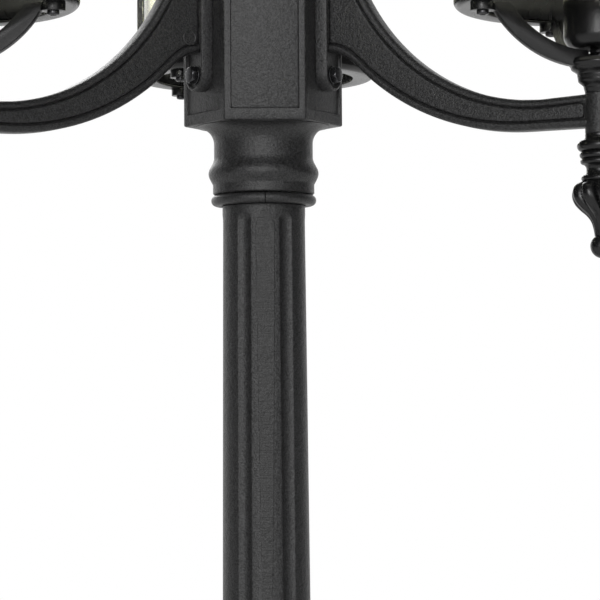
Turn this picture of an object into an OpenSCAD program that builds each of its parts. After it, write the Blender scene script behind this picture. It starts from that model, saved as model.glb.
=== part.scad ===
// Three-arm lantern post with a two-dial clock head.
// Origin: centre of the foot on the ground. +Z is up and the front dial faces -Y.

/* [Post] */
// Height of the hub's underside above the ground
hub_z = 1900; // [1700:10:2200]
// Column radius at its top end
column_top_r = 36.1; // [34:0.1:40]
// Column radius at its bottom end
column_bottom_r = 44.5; // [42:0.1:50]
// Height of the column's bottom end above the ground
column_z = 620; // [560:5:700]
// Number of flutes around the column
flute_count = 6; // [4:1:10]

/* [Pedestal] */
// Corner radius of the hexagonal foot flange
foot_r = 205; // [195:1:230]
// Corner radius of the pedestal's hexagonal body
pedestal_r = 150; // [145:1:160]
// Height of the pedestal's hexagonal body
pedestal_h = 500; // [480:5:540]
// Radius of the anchor holes
anchor_hole_r = 9; // [7:0.5:11]
// Radius of the anchor hole circle
anchor_circle_r = 178; // [174:1:182]

/* [Hub] */
// Corner radius of the hexagonal hub
hub_r = 69.5; // [66:0.5:74]
// Height of the hub
hub_h = 270; // [250:5:300]

/* [Arms] */
// Distance from the post's axis to a lantern's axis
reach = 315; // [300:1:340]
// Thickness of an arm
arm_t = 20; // [16:1:22]
// Width of the raised border along an arm's edges
arm_border = 7; // [5:0.5:9]
// Depth of an arm's side panels
arm_panel_depth = 1.5; // [1:0.1:2.5]

/* [Lanterns] */
// Outer radius of a lantern's pan
pan_r = 120; // [116:1:124]
// Number of bars around a lantern
bar_count = 8; // [6:1:10]
// Height of the glazed body
body_h = 200; // [160:5:220]

/* [Clock] */
// Outer radius of the clock's drum
drum_r = 235; // [225:1:240]
// Half of the drum's depth
drum_half = 62; // [60:1:70]
// Radius of a dial
dial_r = 218; // [208:1:218]

/* [Hidden] */

$fn = 64;
cast_black = [0.10, 0.10, 0.105];
steel_dark = [0.16, 0.16, 0.17];
opal_white = [0.93, 0.92, 0.86];
hand_black = [0.05, 0.05, 0.055];
ceramic = [0.88, 0.87, 0.83];
glass_tint = [0.80, 0.84, 0.68, 0.35];

// Directions of the arms around the post, counter-clockwise from +X
right_a = -30;
left_a = 210;
back_a = 90;
arm_angles = [right_a, left_a, back_a];

// Column and neck levels, measured from the hub's underside
column_top = -70;
ring_top = -60;
ring_edge_r = 4.75;
ring_r = 41.2;
neck_waist_r = 43.2;
neck_foot_r = 44.3;
neck_bead_rise = 4.9;
neck_bead_z = -41.5;
neck_bead_half = 14;
neck_cove_r = 15;
cable_way_r = 30;
column_wall = 5;
spigot_r = 38;
spigot_h = 40;
flute_cut_r = 8;
flute_depth = 3;
flute_top = -84;

// Pedestal and door
hex_ratio = cos(30);
pedestal_flat = pedestal_r * hex_ratio;
pedestal_wall = 8;
foot_t = 16;
door_w = 110;
door_h = 260;
door_z = 110;
door_t = 4;
door_gap = 0.4;
door_hinge_x = -60;
door_hinge_y = -(pedestal_flat + 7);
knuckle_r = 6;
knuckle_h = 15;
door_lug_h = 14;
door_pin_h = 48;
pin_r = 3;
pin_head_t = 2.5;
running = 0.05;
door_hinge_levels = [door_z + 50, door_z + door_h - 50];
lock_x = 44;
lock_z = door_z + door_h / 2;
lock_r = 8;

// Hub and arm flange
hub_flat = hub_r * hex_ratio;
recess_depth = 1;
recess_side = 6;
recess_end = 10;
hub_wall = 9;
flange_w = 29;
flange_t = 9;
flange_low = 27;
flange_high = 243;
bolt_levels = [41, 229];
bolt_r = 4;
bolt_hole_r = 4.5;
thread_r = 4.1;
bolt_reach = 26;
washer_r = 8;
washer_t = 1.6;
head_flats = 13;
head_t = 5.5;
flange_back = hub_flat - recess_depth;
flange_face = flange_back + flange_t;
boss_r = 13;
boss_bore_r = 6;
stud_r = 5.9;
boss_low = -24;
boss_high = 10;

// Arm outline: an ellipse above, a circle below, and the root at the flange
arm_top_c = [264, 197];
arm_top_ru = 184;
arm_top_rz = 190;
arm_low_c = [250, 201];
arm_low_r = 219;
arm_root_low = 60;
arm_root_high = 206;

// Lantern levels, measured from the hub's underside
collar_top = 38;
pan_z = 81;
pan_t = 4;
pan_lip_h = 16;
pan_inner_r = 98;
cage_z = pan_z + pan_t;
cage_ring_h = 20;
cage_r = 116;
cage_inner_r = 104;
bar_w = 6;
cage_top = cage_z + body_h;
roof_z = cage_top + 15;
roof_r = 126;
roof_gap = 0.5;
chimney_r = 34;
roof_h = 96;
roof_top_t = 3.5;
roof_nut_t = 3.2;
roof_nut_r = 9;
lantern_pin_r = 2.5;
lantern_knuckle_r = 5;
screw_r = 2.5;
lantern_hinge_u = roof_r + 7;
leg_arc_r = 99;
leg_arc_s = 10;
leg_arc_z = 129;
leg_depth = 14;
leg_w = 8;
foot_s = 103;
foot_pad_t = 7;
screw_head_t = 3.5;
cup_r = 30;
cup_bottom = 46;
cup_top = 112;

// Clock levels
clock_z = hub_z + 755;
case_wall = 5;
dial_y = 50;
dial_t = 2;
bezel_gap = 0.4;
bezel_t = 14;
bezel_r = 231;
bezel_inner_r = 212;
glass_r = 216;
glass_t = 3;
glass_y = drum_half + 5;
bezel_knuckle_r = 5.5;
bezel_pin_h = 54;
bezel_hinge_x = -(drum_r + 10);
bezel_hinge_y = drum_half + 7;
arbor_r = 2.5;
pipe_r = 5;
movement_half = 20;
minute_len = 178;
hour_len = 122;
minute_turn = 60;
hour_turn = 305;
minute_y = 60;
hour_y = 55.5;
hand_t = 2;

// A turned outline: the radius eases smoothly from one station to the next.
// A station is [height, radius].
function eased(a, b, n = 8) = [for (i = [0:n - 1]) let (t = (1 - cos(180 * i / n)) / 2)
    [a[1] + (b[1] - a[1]) * t, a[0] + (b[0] - a[0]) * i / n]];
function turned_points(st) = concat(
    [for (k = [0:len(st) - 2]) each eased(st[k], st[k + 1])],
    [[st[len(st) - 1][1], st[len(st) - 1][0]]]);

module turned(st) {
    points = turned_points(st);
    rotate_extrude()
        polygon(concat([[0, st[0][0]]], points, [[0, st[len(st) - 1][0]]]));
}

module hex_prism(r, h) { cylinder(r = r, h = h, $fn = 6); }

// Places a child once at each arm, in the arm's own frame
module at_arm(a) { translate([0, 0, hub_z]) rotate(a) children(); }
module at_lantern(a) { at_arm(a) translate([reach, 0, 0]) children(); }
module each_lantern() { for (a = arm_angles) at_lantern(a) children(); }

// A hexagonal bolt along +X with its head's bearing face at x = 0
module bolt_x(shank) {
    rotate([0, 90, 0]) {
        cylinder(r = head_flats / 2 / hex_ratio, h = head_t, $fn = 6);
        translate([0, 0, -shank]) cylinder(r = bolt_r, h = shank + 1);
    }
}

module pedestal() {
    color(cast_black) difference() {
        union() {
            hex_prism(foot_r, foot_t);
            hex_prism(pedestal_r + 22, foot_t + 24);
            hex_prism(pedestal_r + 12, foot_t + 44);
            hex_prism(pedestal_r, pedestal_h - 1);
            translate([0, 0, pedestal_h - 30]) hex_prism(pedestal_r + 7, 14);
            translate([0, 0, pedestal_h - 16]) hex_prism(pedestal_r + 14, 16);
            for (h = door_hinge_levels, s = [-1, 1]) door_lug(h + s * knuckle_h);
        }
        translate([0, 0, -1]) hex_prism(pedestal_r - pedestal_wall, pedestal_h + 2);
        translate([-door_w / 2, -pedestal_r, door_z])
            cube([door_w, pedestal_r / 2, door_h]);
        for (a = [30:60:330]) if (a != 270) rotate(a) pedestal_recess();
        for (k = [0:5]) rotate(60 * k) translate([anchor_circle_r, 0, -1])
            cylinder(r = anchor_hole_r, h = foot_t + 2);
        for (h = door_hinge_levels) translate([door_hinge_x, door_hinge_y, h - 30])
            cylinder(r = pin_r, h = 60);
    }
}

module pedestal_recess() {
    w = pedestal_r - 36;
    translate([pedestal_flat - 2, -w / 2, 90]) cube([5, w, 330]);
}

// One fixed knuckle of the access door's hinges
module door_lug(z) {
    translate([door_hinge_x, door_hinge_y, z - door_lug_h / 2]) {
        cylinder(r = knuckle_r, h = door_lug_h);
        translate([-knuckle_r, 0, 0]) cube([knuckle_r * 2, 8, door_lug_h]);
    }
}

module access_door() {
    leaf_x = door_hinge_x + 8;
    leaf_w = door_w / 2 + 6 - leaf_x;
    color(cast_black) difference() {
        union() {
            translate([leaf_x, -(pedestal_flat + door_gap + door_t), door_z - 6])
                cube([leaf_w, door_t, door_h + 12]);
            translate([leaf_x + 10, -(pedestal_flat + door_gap + door_t + 1.5), door_z + 4])
                cube([leaf_w - 20, 2, door_h - 8]);
            for (h = door_hinge_levels) {
                translate([door_hinge_x, door_hinge_y, h - knuckle_h / 2])
                    cylinder(r = knuckle_r, h = knuckle_h);
                translate([door_hinge_x, door_hinge_y - 1, h - knuckle_h / 2])
                    cube([12, 7.6 - door_gap, knuckle_h]);
            }
        }
        for (h = door_hinge_levels) translate([door_hinge_x, door_hinge_y, h - 10])
            cylinder(r = pin_r + running, h = 20);
        translate([lock_x, -pedestal_flat + 5, lock_z]) rotate([90, 0, 0])
            cylinder(r = lock_r + running, h = 20);
    }
}

module door_hinge_pins() {
    color(steel_dark) for (h = door_hinge_levels)
        translate([door_hinge_x, door_hinge_y, h - door_pin_h / 2]) {
            cylinder(r = pin_r, h = door_pin_h);
            translate([0, 0, door_pin_h]) cylinder(r = pin_r + 1.5, h = pin_head_t);
        }
}

// Quarter-turn lock with a triangular key socket; its cam stands upright when released
module door_lock() {
    inner = pedestal_flat - pedestal_wall * hex_ratio - 0.6;
    color(steel_dark) difference() {
        union() {
            translate([lock_x, -(inner - 4), lock_z]) rotate([90, 0, 0])
                cylinder(r = lock_r, h = pedestal_flat + 9 - inner + 4);
            translate([lock_x - 5, -inner, lock_z]) cube([10, 4, 24]);
        }
        translate([lock_x, -(pedestal_flat + 5), lock_z]) rotate([90, 0, 0])
            cylinder(r = 5, h = 8, $fn = 3);
    }
}

module fuse_unit() {
    back = (pedestal_r - pedestal_wall) * hex_ratio;
    color([0.75, 0.76, 0.78]) {
        translate([-40, back - 60, 180]) cube([80, 60, 150]);
        translate([-12, back - 68, 270]) cube([24, 10, 40]);
        for (x = [-22, 22]) translate([x, back - 30, 165]) cylinder(r = 11, h = 16);
    }
}

module pedestal_cap() {
    color(cast_black) difference() {
        translate([0, 0, pedestal_h])
            turned([[0, 150], [6, 150], [10, 132], [18, 126], [62, 74], [84, 66],
                [94, 60], [102, 64], [110, 57], [120, 51]]);
        translate([0, 0, pedestal_h - 1]) cylinder(r1 = 122, r2 = 48, h = 72);
        translate([0, 0, pedestal_h]) cylinder(r = spigot_r, h = 200);
    }
}

module column_shaft() {
    h = hub_z + column_top - column_z;
    lean = atan((column_bottom_r - column_top_r) / h);
    color(cast_black) difference() {
        union() {
            translate([0, 0, column_z])
                cylinder(r1 = column_bottom_r, r2 = column_top_r, h = h, $fn = 96);
            translate([0, 0, column_z - spigot_h]) cylinder(r = spigot_r, h = spigot_h + 1);
        }
        translate([0, 0, column_z - spigot_h - 1])
            cylinder(r = column_top_r - column_wall - flute_depth, h = h + spigot_h + 2);
        for (k = [0:flute_count - 1]) rotate(90 + 180 / flute_count + k * 360 / flute_count)
            translate([0, 0, hub_z + flute_top]) flute(h - 60, lean);
        front_flat();
    }
}

// A round-bottomed flute that runs down the tapered column from its round top end
module flute(length, lean) {
    centre = column_top_r + flute_cut_r - flute_depth;
    translate([centre, 0, 0]) rotate([0, -lean, 0]) {
        sphere(r = flute_cut_r, $fn = 32);
        rotate([180, 0, 0]) cylinder(r = flute_cut_r, h = length, $fn = 32);
    }
}

// The dressed-off casting seam at the front: a long flat that runs out at both ends
module front_flat() {
    tall = 470;
    depth = 1;
    slope = (column_bottom_r - column_top_r) / (hub_z + column_top - column_z);
    translate([30, 0, hub_z - 72]) rotate([90, 0, -90]) linear_extrude(60)
        polygon([[column_top_r, 0], [column_top_r - depth + 18 * slope, -18],
            [column_top_r + tall * slope, -tall], [column_top_r + 20, -tall],
            [column_top_r + 20, 0]]);
}

// The collar that closes the joint between column and neck, split at the front
module collar_ring() {
    color(cast_black) translate([0, 0, hub_z + ring_top - ring_edge_r]) difference() {
        rotate_extrude() {
            translate([ring_r, 0]) circle(r = ring_edge_r, $fn = 32);
            translate([cable_way_r, -ring_edge_r]) square([ring_r - cable_way_r, ring_edge_r * 2]);
        }
        translate([-0.5, -60, -6]) cube([1, 22, 12]);
    }
}

function neck_radius(z) = let (base = z < neck_bead_z ? neck_foot_r : neck_waist_r,
    bead = neck_waist_r + neck_bead_rise * (1 + cos(180 * (z - neck_bead_z) / neck_bead_half)) / 2)
    abs(z - neck_bead_z) < neck_bead_half ? max(base, bead) : base;

module neck() {
    cove = [for (a = [0:9:90]) [neck_waist_r + neck_cove_r * (1 - cos(a)),
        -3 - neck_cove_r + neck_cove_r * sin(a)]];
    body = [for (z = [ring_top:1:-3 - neck_cove_r - 1]) [neck_radius(z), z]];
    color(cast_black) translate([0, 0, hub_z]) rotate_extrude($fn = 96)
        polygon(concat([[cable_way_r, ring_top]], body, cove,
            [[neck_waist_r + neck_cove_r, 0], [cable_way_r, 0]]));
}

module hub_body() {
    face = hub_r - 2 * recess_side;
    color(cast_black) translate([0, 0, hub_z]) difference() {
        hex_prism(hub_r, hub_h);
        translate([0, 0, 10]) hex_prism(hub_r - hub_wall, hub_h);
        translate([0, 0, -1]) cylinder(r = cable_way_r, h = 20);
        for (a = [30:60:330]) rotate(a)
            translate([flange_back, -face / 2, recess_end])
                cube([10, face, hub_h - 2 * recess_end]);
        for (a = arm_angles, z = bolt_levels) rotate(a) translate([40, 0, z])
            rotate([0, 90, 0]) cylinder(r = thread_r, h = 40);
    }
}

module hub_cap() {
    color(cast_black) translate([0, 0, hub_z + hub_h]) difference() {
        union() {
            hex_prism(hub_r + 7, 10);
            translate([0, 0, 10]) turned([[0, 62], [4, 62], [8, 56], [28, 37], [32, 37]]);
        }
        translate([0, 0, -1]) cylinder(r = 18, h = 60);
    }
}

// Side outline of an arm, drawn in by `inset` for the panel.
// u is the distance from the post's axis, and z is measured from the hub's underside.
function arm_outline(inset) = let (
    ru = arm_top_ru + inset, rz = arm_top_rz + inset, low_r = arm_low_r - inset,
    end_u = reach - (inset > 0 ? 20 : 8),
    root_u = inset > 0 ? flange_face + 2 : flange_face - 1,
    start = max(root_u, arm_top_c[0] - ru),
    start_a = acos((start - arm_top_c[0]) / ru),
    root_top = inset > 0 ? [] : [[root_u, arm_root_high]])
    concat(
        [for (k = [0:15]) let (a = start_a + (95 - start_a) * k / 15)
            [arm_top_c[0] + ru * cos(a), arm_top_c[1] - rz * sin(a)]],
        [[arm_top_c[0], arm_top_c[1] - rz], [end_u, 9 - inset]],
        inset > 0 ? [for (a = [60:-30:-60]) [end_u + 9 * cos(a), -4.5 + (13.5 - inset) * sin(a)]] : [],
        [[end_u, -18 + inset]],
        [for (a = [90:5:130]) arm_low_point(low_r, a)],
        root_curve(arm_low_point(low_r, 135), [root_u, arm_root_low + inset]), root_top);

// A point on the circle that shapes the arm's underside
function arm_low_point(r, a) = [arm_low_c[0] + r * cos(a), arm_low_c[1] - r * sin(a)];

// The underside leaves its circle at 45 degrees and levels out into the flange
function root_curve(from, to) = let (knee = [from[0] - (to[1] - from[1]), to[1]])
    [for (k = [0:6]) let (t = k / 6, r = 1 - t) r * r * from + 2 * r * t * knee + t * t * to];

module arm(a) {
    color(cast_black) at_arm(a) difference() {
        union() {
            rotate([90, 0, 0]) linear_extrude(arm_t, center = true) polygon(arm_outline(0));
            arm_flange();
            translate([reach, 0, boss_low]) cylinder(r = boss_r, h = boss_high - boss_low);
        }
        for (s = [0, 1]) mirror([0, s, 0]) translate([0, -arm_t / 2 + arm_panel_depth, 0])
            rotate([90, 0, 0]) linear_extrude(5) polygon(arm_outline(arm_border));
        translate([reach, 0, boss_low - 1]) cylinder(r = boss_bore_r, h = 60);
        for (z = bolt_levels) translate([flange_back - 1, 0, z]) rotate([0, 90, 0])
            cylinder(r = bolt_hole_r, h = 30);
    }
}

// Bolting flange with round ends
module arm_flange() {
    half = flange_w / 2;
    translate([flange_back, 0, 0]) {
        for (z = [flange_low + half, flange_high - half]) translate([0, 0, z])
            rotate([0, 90, 0]) cylinder(r = half, h = flange_t);
        translate([0, -half, flange_low + half])
            cube([flange_t, flange_w, flange_high - flange_low - flange_w]);
    }
}

module arm_right() { arm(right_a); }
module arm_left() { arm(left_a); }
module arm_back() { arm(back_a); }

module arm_bolts() {
    color(steel_dark) for (a = arm_angles, z = bolt_levels) at_arm(a)
        translate([flange_face + washer_t, 0, z]) bolt_x(bolt_reach);
}

module arm_washers() {
    color(steel_dark) for (a = arm_angles, z = bolt_levels) at_arm(a)
        translate([flange_face, 0, z]) rotate([0, 90, 0]) difference() {
            cylinder(r = washer_r, h = washer_t);
            translate([0, 0, -1]) cylinder(r = bolt_r + 0.2, h = washer_t + 2);
        }
}

// Turned drop under an arm's end, with the stud that clamps the cradle to the arm
module pendant(a) {
    color(cast_black) at_lantern(a) {
        turned([[-110, 6.8], [-107, 6.5], [-98, 8.2], [-74, 25], [-65, 20.5], [-61, 16.5],
            [-53, 12.6], [-46, 17.2], [-38.5, 17.6], [-33, 20], [boss_low, 13]]);
        translate([0, 0, -116]) sphere(r = 10);
        translate([0, 0, boss_low]) cylinder(r = stud_r, h = boss_high - boss_low + 14);
    }
}

module pendant_right() { pendant(right_a); }
module pendant_left() { pendant(left_a); }
module pendant_back() { pendant(back_a); }

// Collar with four curved legs that carry the lantern's pan
module cradle(a) {
    color(cast_black) at_lantern(a) difference() {
        union() {
            turned([[boss_high, 13], [14.5, 14], [20, 18.6], [25, 19.2], [30, 24.4],
                [34, 26.4], [collar_top, 25]]);
            for (k = [0:3]) rotate(45 + 90 * k) cradle_leg();
        }
        translate([0, 0, boss_high - 1]) cylinder(r = boss_bore_r, h = 15);
        for (k = [0:3]) rotate(45 + 90 * k) translate([foot_s, 0, pan_z - 20])
            cylinder(r = screw_r, h = 30);
    }
}

module cradle_leg() {
    intersection() {
        translate([0, leg_w / 2, 0]) rotate([90, 0, 0]) linear_extrude(leg_w)
            translate([leg_arc_s, leg_arc_z]) difference() {
                circle(r = leg_arc_r, $fn = 128);
                circle(r = leg_arc_r - leg_depth, $fn = 128);
            }
        translate([12, -20, 0]) cube([120, 40, pan_z]);
    }
    translate([foot_s, 0, pan_z - foot_pad_t]) cylinder(r = 10, h = foot_pad_t);
    translate([foot_s - 12, -leg_w / 2, pan_z - foot_pad_t]) cube([12, leg_w, foot_pad_t]);
}

module cradle_right() { cradle(right_a); }
module cradle_left() { cradle(left_a); }
module cradle_back() { cradle(back_a); }

// Open-centred pan with an upturned lip
module pan(a) {
    color(cast_black) at_lantern(a) translate([0, 0, pan_z]) difference() {
        rotate_extrude($fn = 96) polygon([[pan_inner_r, 0], [pan_r - 6, 0], [pan_r - 2, 2],
            [pan_r, 6], [pan_r, pan_lip_h], [pan_r - 3, pan_lip_h], [pan_r - 3, pan_t],
            [pan_inner_r, pan_t]]);
        for (k = [0:3]) rotate(45 + 90 * k) translate([foot_s, 0, -1])
            cylinder(r = screw_r, h = pan_t + 2);
    }
}

module pan_right() { pan(right_a); }
module pan_left() { pan(left_a); }
module pan_back() { pan(back_a); }

// Rings and bars that hold the panes, with the fixed half of the roof's hinge
module cage(a) {
    color(cast_black) at_lantern(a) difference() {
        union() {
            translate([0, 0, cage_z]) tube(cage_r, cage_inner_r, cage_ring_h);
            translate([0, 0, cage_top]) tube(cage_r + 2, cage_inner_r - 4, roof_z - cage_top);
            for (k = [0:bar_count - 1]) rotate(k * 360 / bar_count)
                translate([cage_inner_r + 1, -bar_w / 2, cage_z + cage_ring_h - 1])
                    cube([cage_r - cage_inner_r - 1, bar_w, body_h - cage_ring_h + 2]);
            for (s = [-1, 1]) translate([lantern_hinge_u, s * 12, roof_z]) lantern_lug(8);
        }
        for (k = [0:3]) rotate(45 + 90 * k) translate([foot_s, 0, cage_z - 1])
            cylinder(r = screw_r, h = 6);
        translate([lantern_hinge_u, 30, roof_z]) rotate([90, 0, 0])
            cylinder(r = lantern_pin_r, h = 60);
    }
}

module tube(outer, inner, h) {
    difference() {
        cylinder(r = outer, h = h, $fn = 96);
        translate([0, 0, -1]) cylinder(r = inner, h = h + 2, $fn = 96);
    }
}

module lantern_lug(w) {
    translate([0, w / 2, 0]) rotate([90, 0, 0]) cylinder(r = lantern_knuckle_r, h = w);
    translate([-18, -w / 2, -10]) cube([18, w, 8]);
    translate([-lantern_knuckle_r, -w / 2, -10]) cube([lantern_knuckle_r * 2, w, 10]);
}

module cage_right() { cage(right_a); }
module cage_left() { cage(left_a); }
module cage_back() { cage(back_a); }

// Curved panes between the bars
module panes(a) {
    z = cage_z + cage_ring_h;
    color(glass_tint) at_lantern(a) translate([0, 0, z]) difference() {
        tube(cage_inner_r + 7, cage_inner_r + 4, cage_top - z);
        for (k = [0:bar_count - 1]) rotate(k * 360 / bar_count)
            translate([cage_inner_r - 4, -bar_w / 2, -1])
                cube([20, bar_w, body_h + 2]);
    }
}

module panes_right() { panes(right_a); }
module panes_left() { panes(left_a); }
module panes_back() { panes(back_a); }

// Bell-shaped roof shell that hinges open away from the post
module roof(a) {
    st = [[0, roof_r], [5, roof_r], [12, 117], [58, 62], [roof_h - 12, chimney_r],
        [roof_h, chimney_r]];
    outer = turned_points(st);
    color(cast_black) at_lantern(a) translate([0, 0, roof_z + roof_gap]) difference() {
        union() {
            rotate_extrude($fn = 96) polygon(concat([[0, 0]], outer, [[0, roof_h]]));
            translate([0, knuckle_h / 2, -roof_gap]) {
                translate([lantern_hinge_u, 0, 0]) rotate([90, 0, 0])
                    cylinder(r = lantern_knuckle_r, h = knuckle_h);
                translate([roof_r - 6, -knuckle_h, roof_gap])
                    cube([lantern_hinge_u - roof_r + 6, knuckle_h, 4.4]);
            }
        }
        translate([0, 0, -1]) rotate_extrude($fn = 96) polygon(concat([[0, 0]],
            [for (p = outer) [p[0] - 5, max(0, p[1] - roof_top_t + 1)]],
            [[0, roof_h - roof_top_t + 1]]));
        translate([lantern_hinge_u, 30, -roof_gap]) rotate([90, 0, 0])
            cylinder(r = lantern_pin_r + running, h = 60);
        cylinder(r = 4, h = 200);
    }
}

module roof_right() { roof(right_a); }
module roof_left() { roof(left_a); }
module roof_back() { roof(back_a); }

// Vent cap and turned finial on top of a roof
module roof_finial(a) {
    color(cast_black) at_lantern(a) translate([0, 0, roof_z + roof_gap + roof_h]) {
        turned([[0, 30], [5, 30], [8, 44], [12, 44], [22, 22], [26, 12], [32, 16], [36, 8],
            [44, 6], [50, 10], [58, 11], [72, 1.5]]);
        translate([0, 0, -16]) cylinder(r = 4, h = 17);
        translate([0, 0, -roof_top_t - roof_nut_t]) cylinder(r = roof_nut_r, h = roof_nut_t);
    }
}

module roof_finial_right() { roof_finial(right_a); }
module roof_finial_left() { roof_finial(left_a); }
module roof_finial_back() { roof_finial(back_a); }

// Lamp cups, each on the hollow stud that ties it to its cradle
module lamp_cups() {
    color(cast_black) each_lantern() difference() {
        union() {
            turned([[cup_bottom, 16], [cup_bottom + 2, 22], [cup_bottom + 8, cup_r],
                [cup_top, cup_r]]);
            translate([0, 0, collar_top]) cylinder(r = 4, h = cup_bottom - collar_top + 1);
            translate([0, 0, cup_bottom - 4]) cylinder(r = 7.5, h = 5, $fn = 6);
        }
        translate([0, 0, cup_bottom + 8]) cylinder(r = cup_r - 4, h = 100);
    }
}

module lampholders() {
    color(ceramic) each_lantern() difference() {
        union() {
            translate([0, 0, cup_bottom + 8]) cylinder(r = 22, h = 50);
            translate([0, 0, cup_bottom + 58]) cylinder(r = 19, h = 24);
        }
        translate([0, 0, cup_bottom + 56]) cylinder(r = 13.5, h = 40);
    }
}

module bulbs() {
    color([0.97, 0.96, 0.92]) each_lantern() translate([0, 0, cup_bottom + 56]) {
        turned([[0, 8], [3, 13], [26, 13], [34, 14], [62, 28]]);
        translate([0, 0, 76]) sphere(r = 30);
    }
}

module cradle_screws() {
    color(steel_dark) each_lantern() for (k = [0:3]) rotate(45 + 90 * k)
        translate([foot_s, 0, pan_z - foot_pad_t]) {
            cylinder(r = screw_r, h = foot_pad_t + pan_t + 3);
            translate([0, 0, -screw_head_t]) difference() {
                cylinder(r = 5, h = screw_head_t);
                translate([0, 0, -1]) cylinder(r = 2.3, h = 3, $fn = 6);
            }
        }
}

module roof_hinge_pins() {
    color(steel_dark) each_lantern() translate([lantern_hinge_u, 17, roof_z])
        rotate([90, 0, 0]) {
            cylinder(r = lantern_pin_r, h = 34);
            translate([0, 0, -2]) cylinder(r = lantern_pin_r + 1.5, h = 2);
        }
}

// A round body along Y, from y = near to y = far
module along_y(r, near, far, fn = 64) {
    translate([0, far, 0]) rotate([90, 0, 0]) cylinder(r = r, h = far - near, $fn = fn);
}

module clock_stem() {
    z = hub_z + hub_h + 42;
    top = clock_z - drum_r + 12;
    h = top - z;
    color(cast_black) difference() {
        translate([0, 0, z]) turned([[0, 37], [5, 41], [10, 36], [22, 27], [h - 62, 22],
            [h - 56, 30], [h - 50, 24], [h - 12, 56], [h, 58]]);
        translate([0, 0, clock_z]) along_y(drum_r, -200, 200, 128);
        translate([0, 0, z - 1]) cylinder(r = 14, h = 400);
    }
}

module drum_case() {
    color(cast_black) translate([0, 0, clock_z]) difference() {
        union() {
            difference() {
                union() {
                    along_y(drum_r - 3, -drum_half, drum_half, 128);
                    for (s = [-1, 1]) along_y(drum_r, s * (drum_half - 6) - 6,
                        s * (drum_half - 6) + 6, 128);
                    along_y(drum_r, -5, 5, 128);
                }
                along_y(drum_r - 3 - case_wall, -100, 100, 128);
            }
            for (s = [-1, 1]) difference() {
                along_y(drum_r - 4, s * 45 - 3, s * 45 + 3, 128);
                along_y(dial_r - 12, -100, 100, 128);
            }
            translate([-25, -8, -drum_r + 5]) cube([50, 16, drum_r - 46]);
            for (s = [-1, 1], t = [-1, 1])
                translate([bezel_hinge_x, s * bezel_hinge_y, t * 17 - knuckle_h / 2])
                    drum_lug(s, knuckle_h);
        }
        translate([0, 0, -drum_r - 10]) cylinder(r = 10, h = 40);
        for (s = [-1, 1]) translate([bezel_hinge_x, s * bezel_hinge_y, -40])
            cylinder(r = pin_r, h = 80);
    }
}

module drum_lug(s, h) {
    cylinder(r = bezel_knuckle_r, h = h);
    translate([-bezel_knuckle_r, s > 0 ? -16 : 0, 0]) cube([bezel_knuckle_r * 2, 16, h]);
    translate([0, s > 0 ? -21 : 8, 0]) cube([14, 13, h]);
}

module bezel_hinge_pins() {
    color(steel_dark) for (s = [-1, 1])
        translate([bezel_hinge_x, s * bezel_hinge_y, clock_z - bezel_pin_h / 2]) {
            cylinder(r = pin_r, h = bezel_pin_h);
            translate([0, 0, bezel_pin_h]) cylinder(r = pin_r + 1.5, h = pin_head_t);
        }
}

// Motor and its two-way motion work in one housing
module movement() {
    color([0.62, 0.63, 0.65]) translate([0, 0, clock_z]) difference() {
        union() {
            translate([-45, -movement_half, -40]) cube([90, movement_half * 2, 80]);
            translate([-25, 8, -60]) cube([50, 4, 30]);
            translate([18, 0, 0]) along_y(24, -movement_half - 14, -movement_half + 1);
        }
        for (s = [0, 1]) mirror([0, s, 0]) {
            along_y(pipe_r + running, -60, -movement_half + 8);
            along_y(arbor_r + running, -60, -4);
        }
        translate([0, -movement_half - 20, 0]) rotate([-90, 0, 0]) cylinder(r = 9, h = 19.9);
    }
}

// s = -1 puts a dial, bezel or hand on the front, and s = 1 on the rear
module facing(s) { translate([0, 0, clock_z]) rotate(s > 0 ? 180 : 0) children(); }

module dial(s) {
    color(opal_white) facing(s) difference() {
        union() {
            along_y(dial_r, -dial_y, -dial_y + dial_t, 128);
            for (k = [0:11]) rotate([0, 30 * k, 0]) translate([-3, -dial_y - 1, dial_r - 48])
                cube([6, 1.5, k % 3 == 0 ? 34 : 22]);
        }
        along_y(9, -100, 100);
    }
}

module front_dial() { dial(-1); }
module rear_dial() { dial(1); }

module bezel(s) {
    color(cast_black) facing(s) difference() {
        union() {
            along_y(bezel_r, -drum_half - bezel_t, -drum_half - bezel_gap, 128);
            translate([-s * bezel_hinge_x, -bezel_hinge_y, -knuckle_h / 2])
                cylinder(r = bezel_knuckle_r, h = knuckle_h);
            translate([s * bezel_r - 14, -bezel_hinge_y - bezel_knuckle_r, -knuckle_h / 2])
                cube([28, bezel_knuckle_r * 2, knuckle_h]);
        }
        along_y(bezel_inner_r, -200, 0, 128);
        along_y(glass_r, -glass_y - glass_t, 0, 128);
        translate([-s * bezel_hinge_x, -bezel_hinge_y, -40]) cylinder(r = pin_r + running, h = 80);
    }
}

module front_bezel() { bezel(-1); }
module rear_bezel() { bezel(1); }

module dial_glass(s) {
    color([0.85, 0.9, 0.92, 0.3]) facing(s) along_y(glass_r, -glass_y - glass_t, -glass_y, 128);
}

module front_glass() { dial_glass(-1); }
module rear_glass() { dial_glass(1); }

module minute_arbor(s) { color([0.75, 0.62, 0.35]) facing(s) along_y(arbor_r, -64, -5); }
module front_minute_arbor() { minute_arbor(-1); }
module rear_minute_arbor() { minute_arbor(1); }

// A spade hand in the XZ plane that points up, with a counterweight tail
module hand_blade(length, width, tail, hole_r) {
    difference() {
        union() {
            circle(r = width * 1.5);
            polygon([[-width / 2, -tail], [width / 2, -tail], [width / 2.6, length * 0.66],
                [-width / 2.6, length * 0.66]]);
            polygon([[-width * 1.15, length * 0.7], [0, length * 0.6], [width * 1.15, length * 0.7],
                [0, length]]);
            translate([0, -tail]) circle(r = width * 1.25);
        }
        circle(r = hole_r);
    }
}

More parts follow.
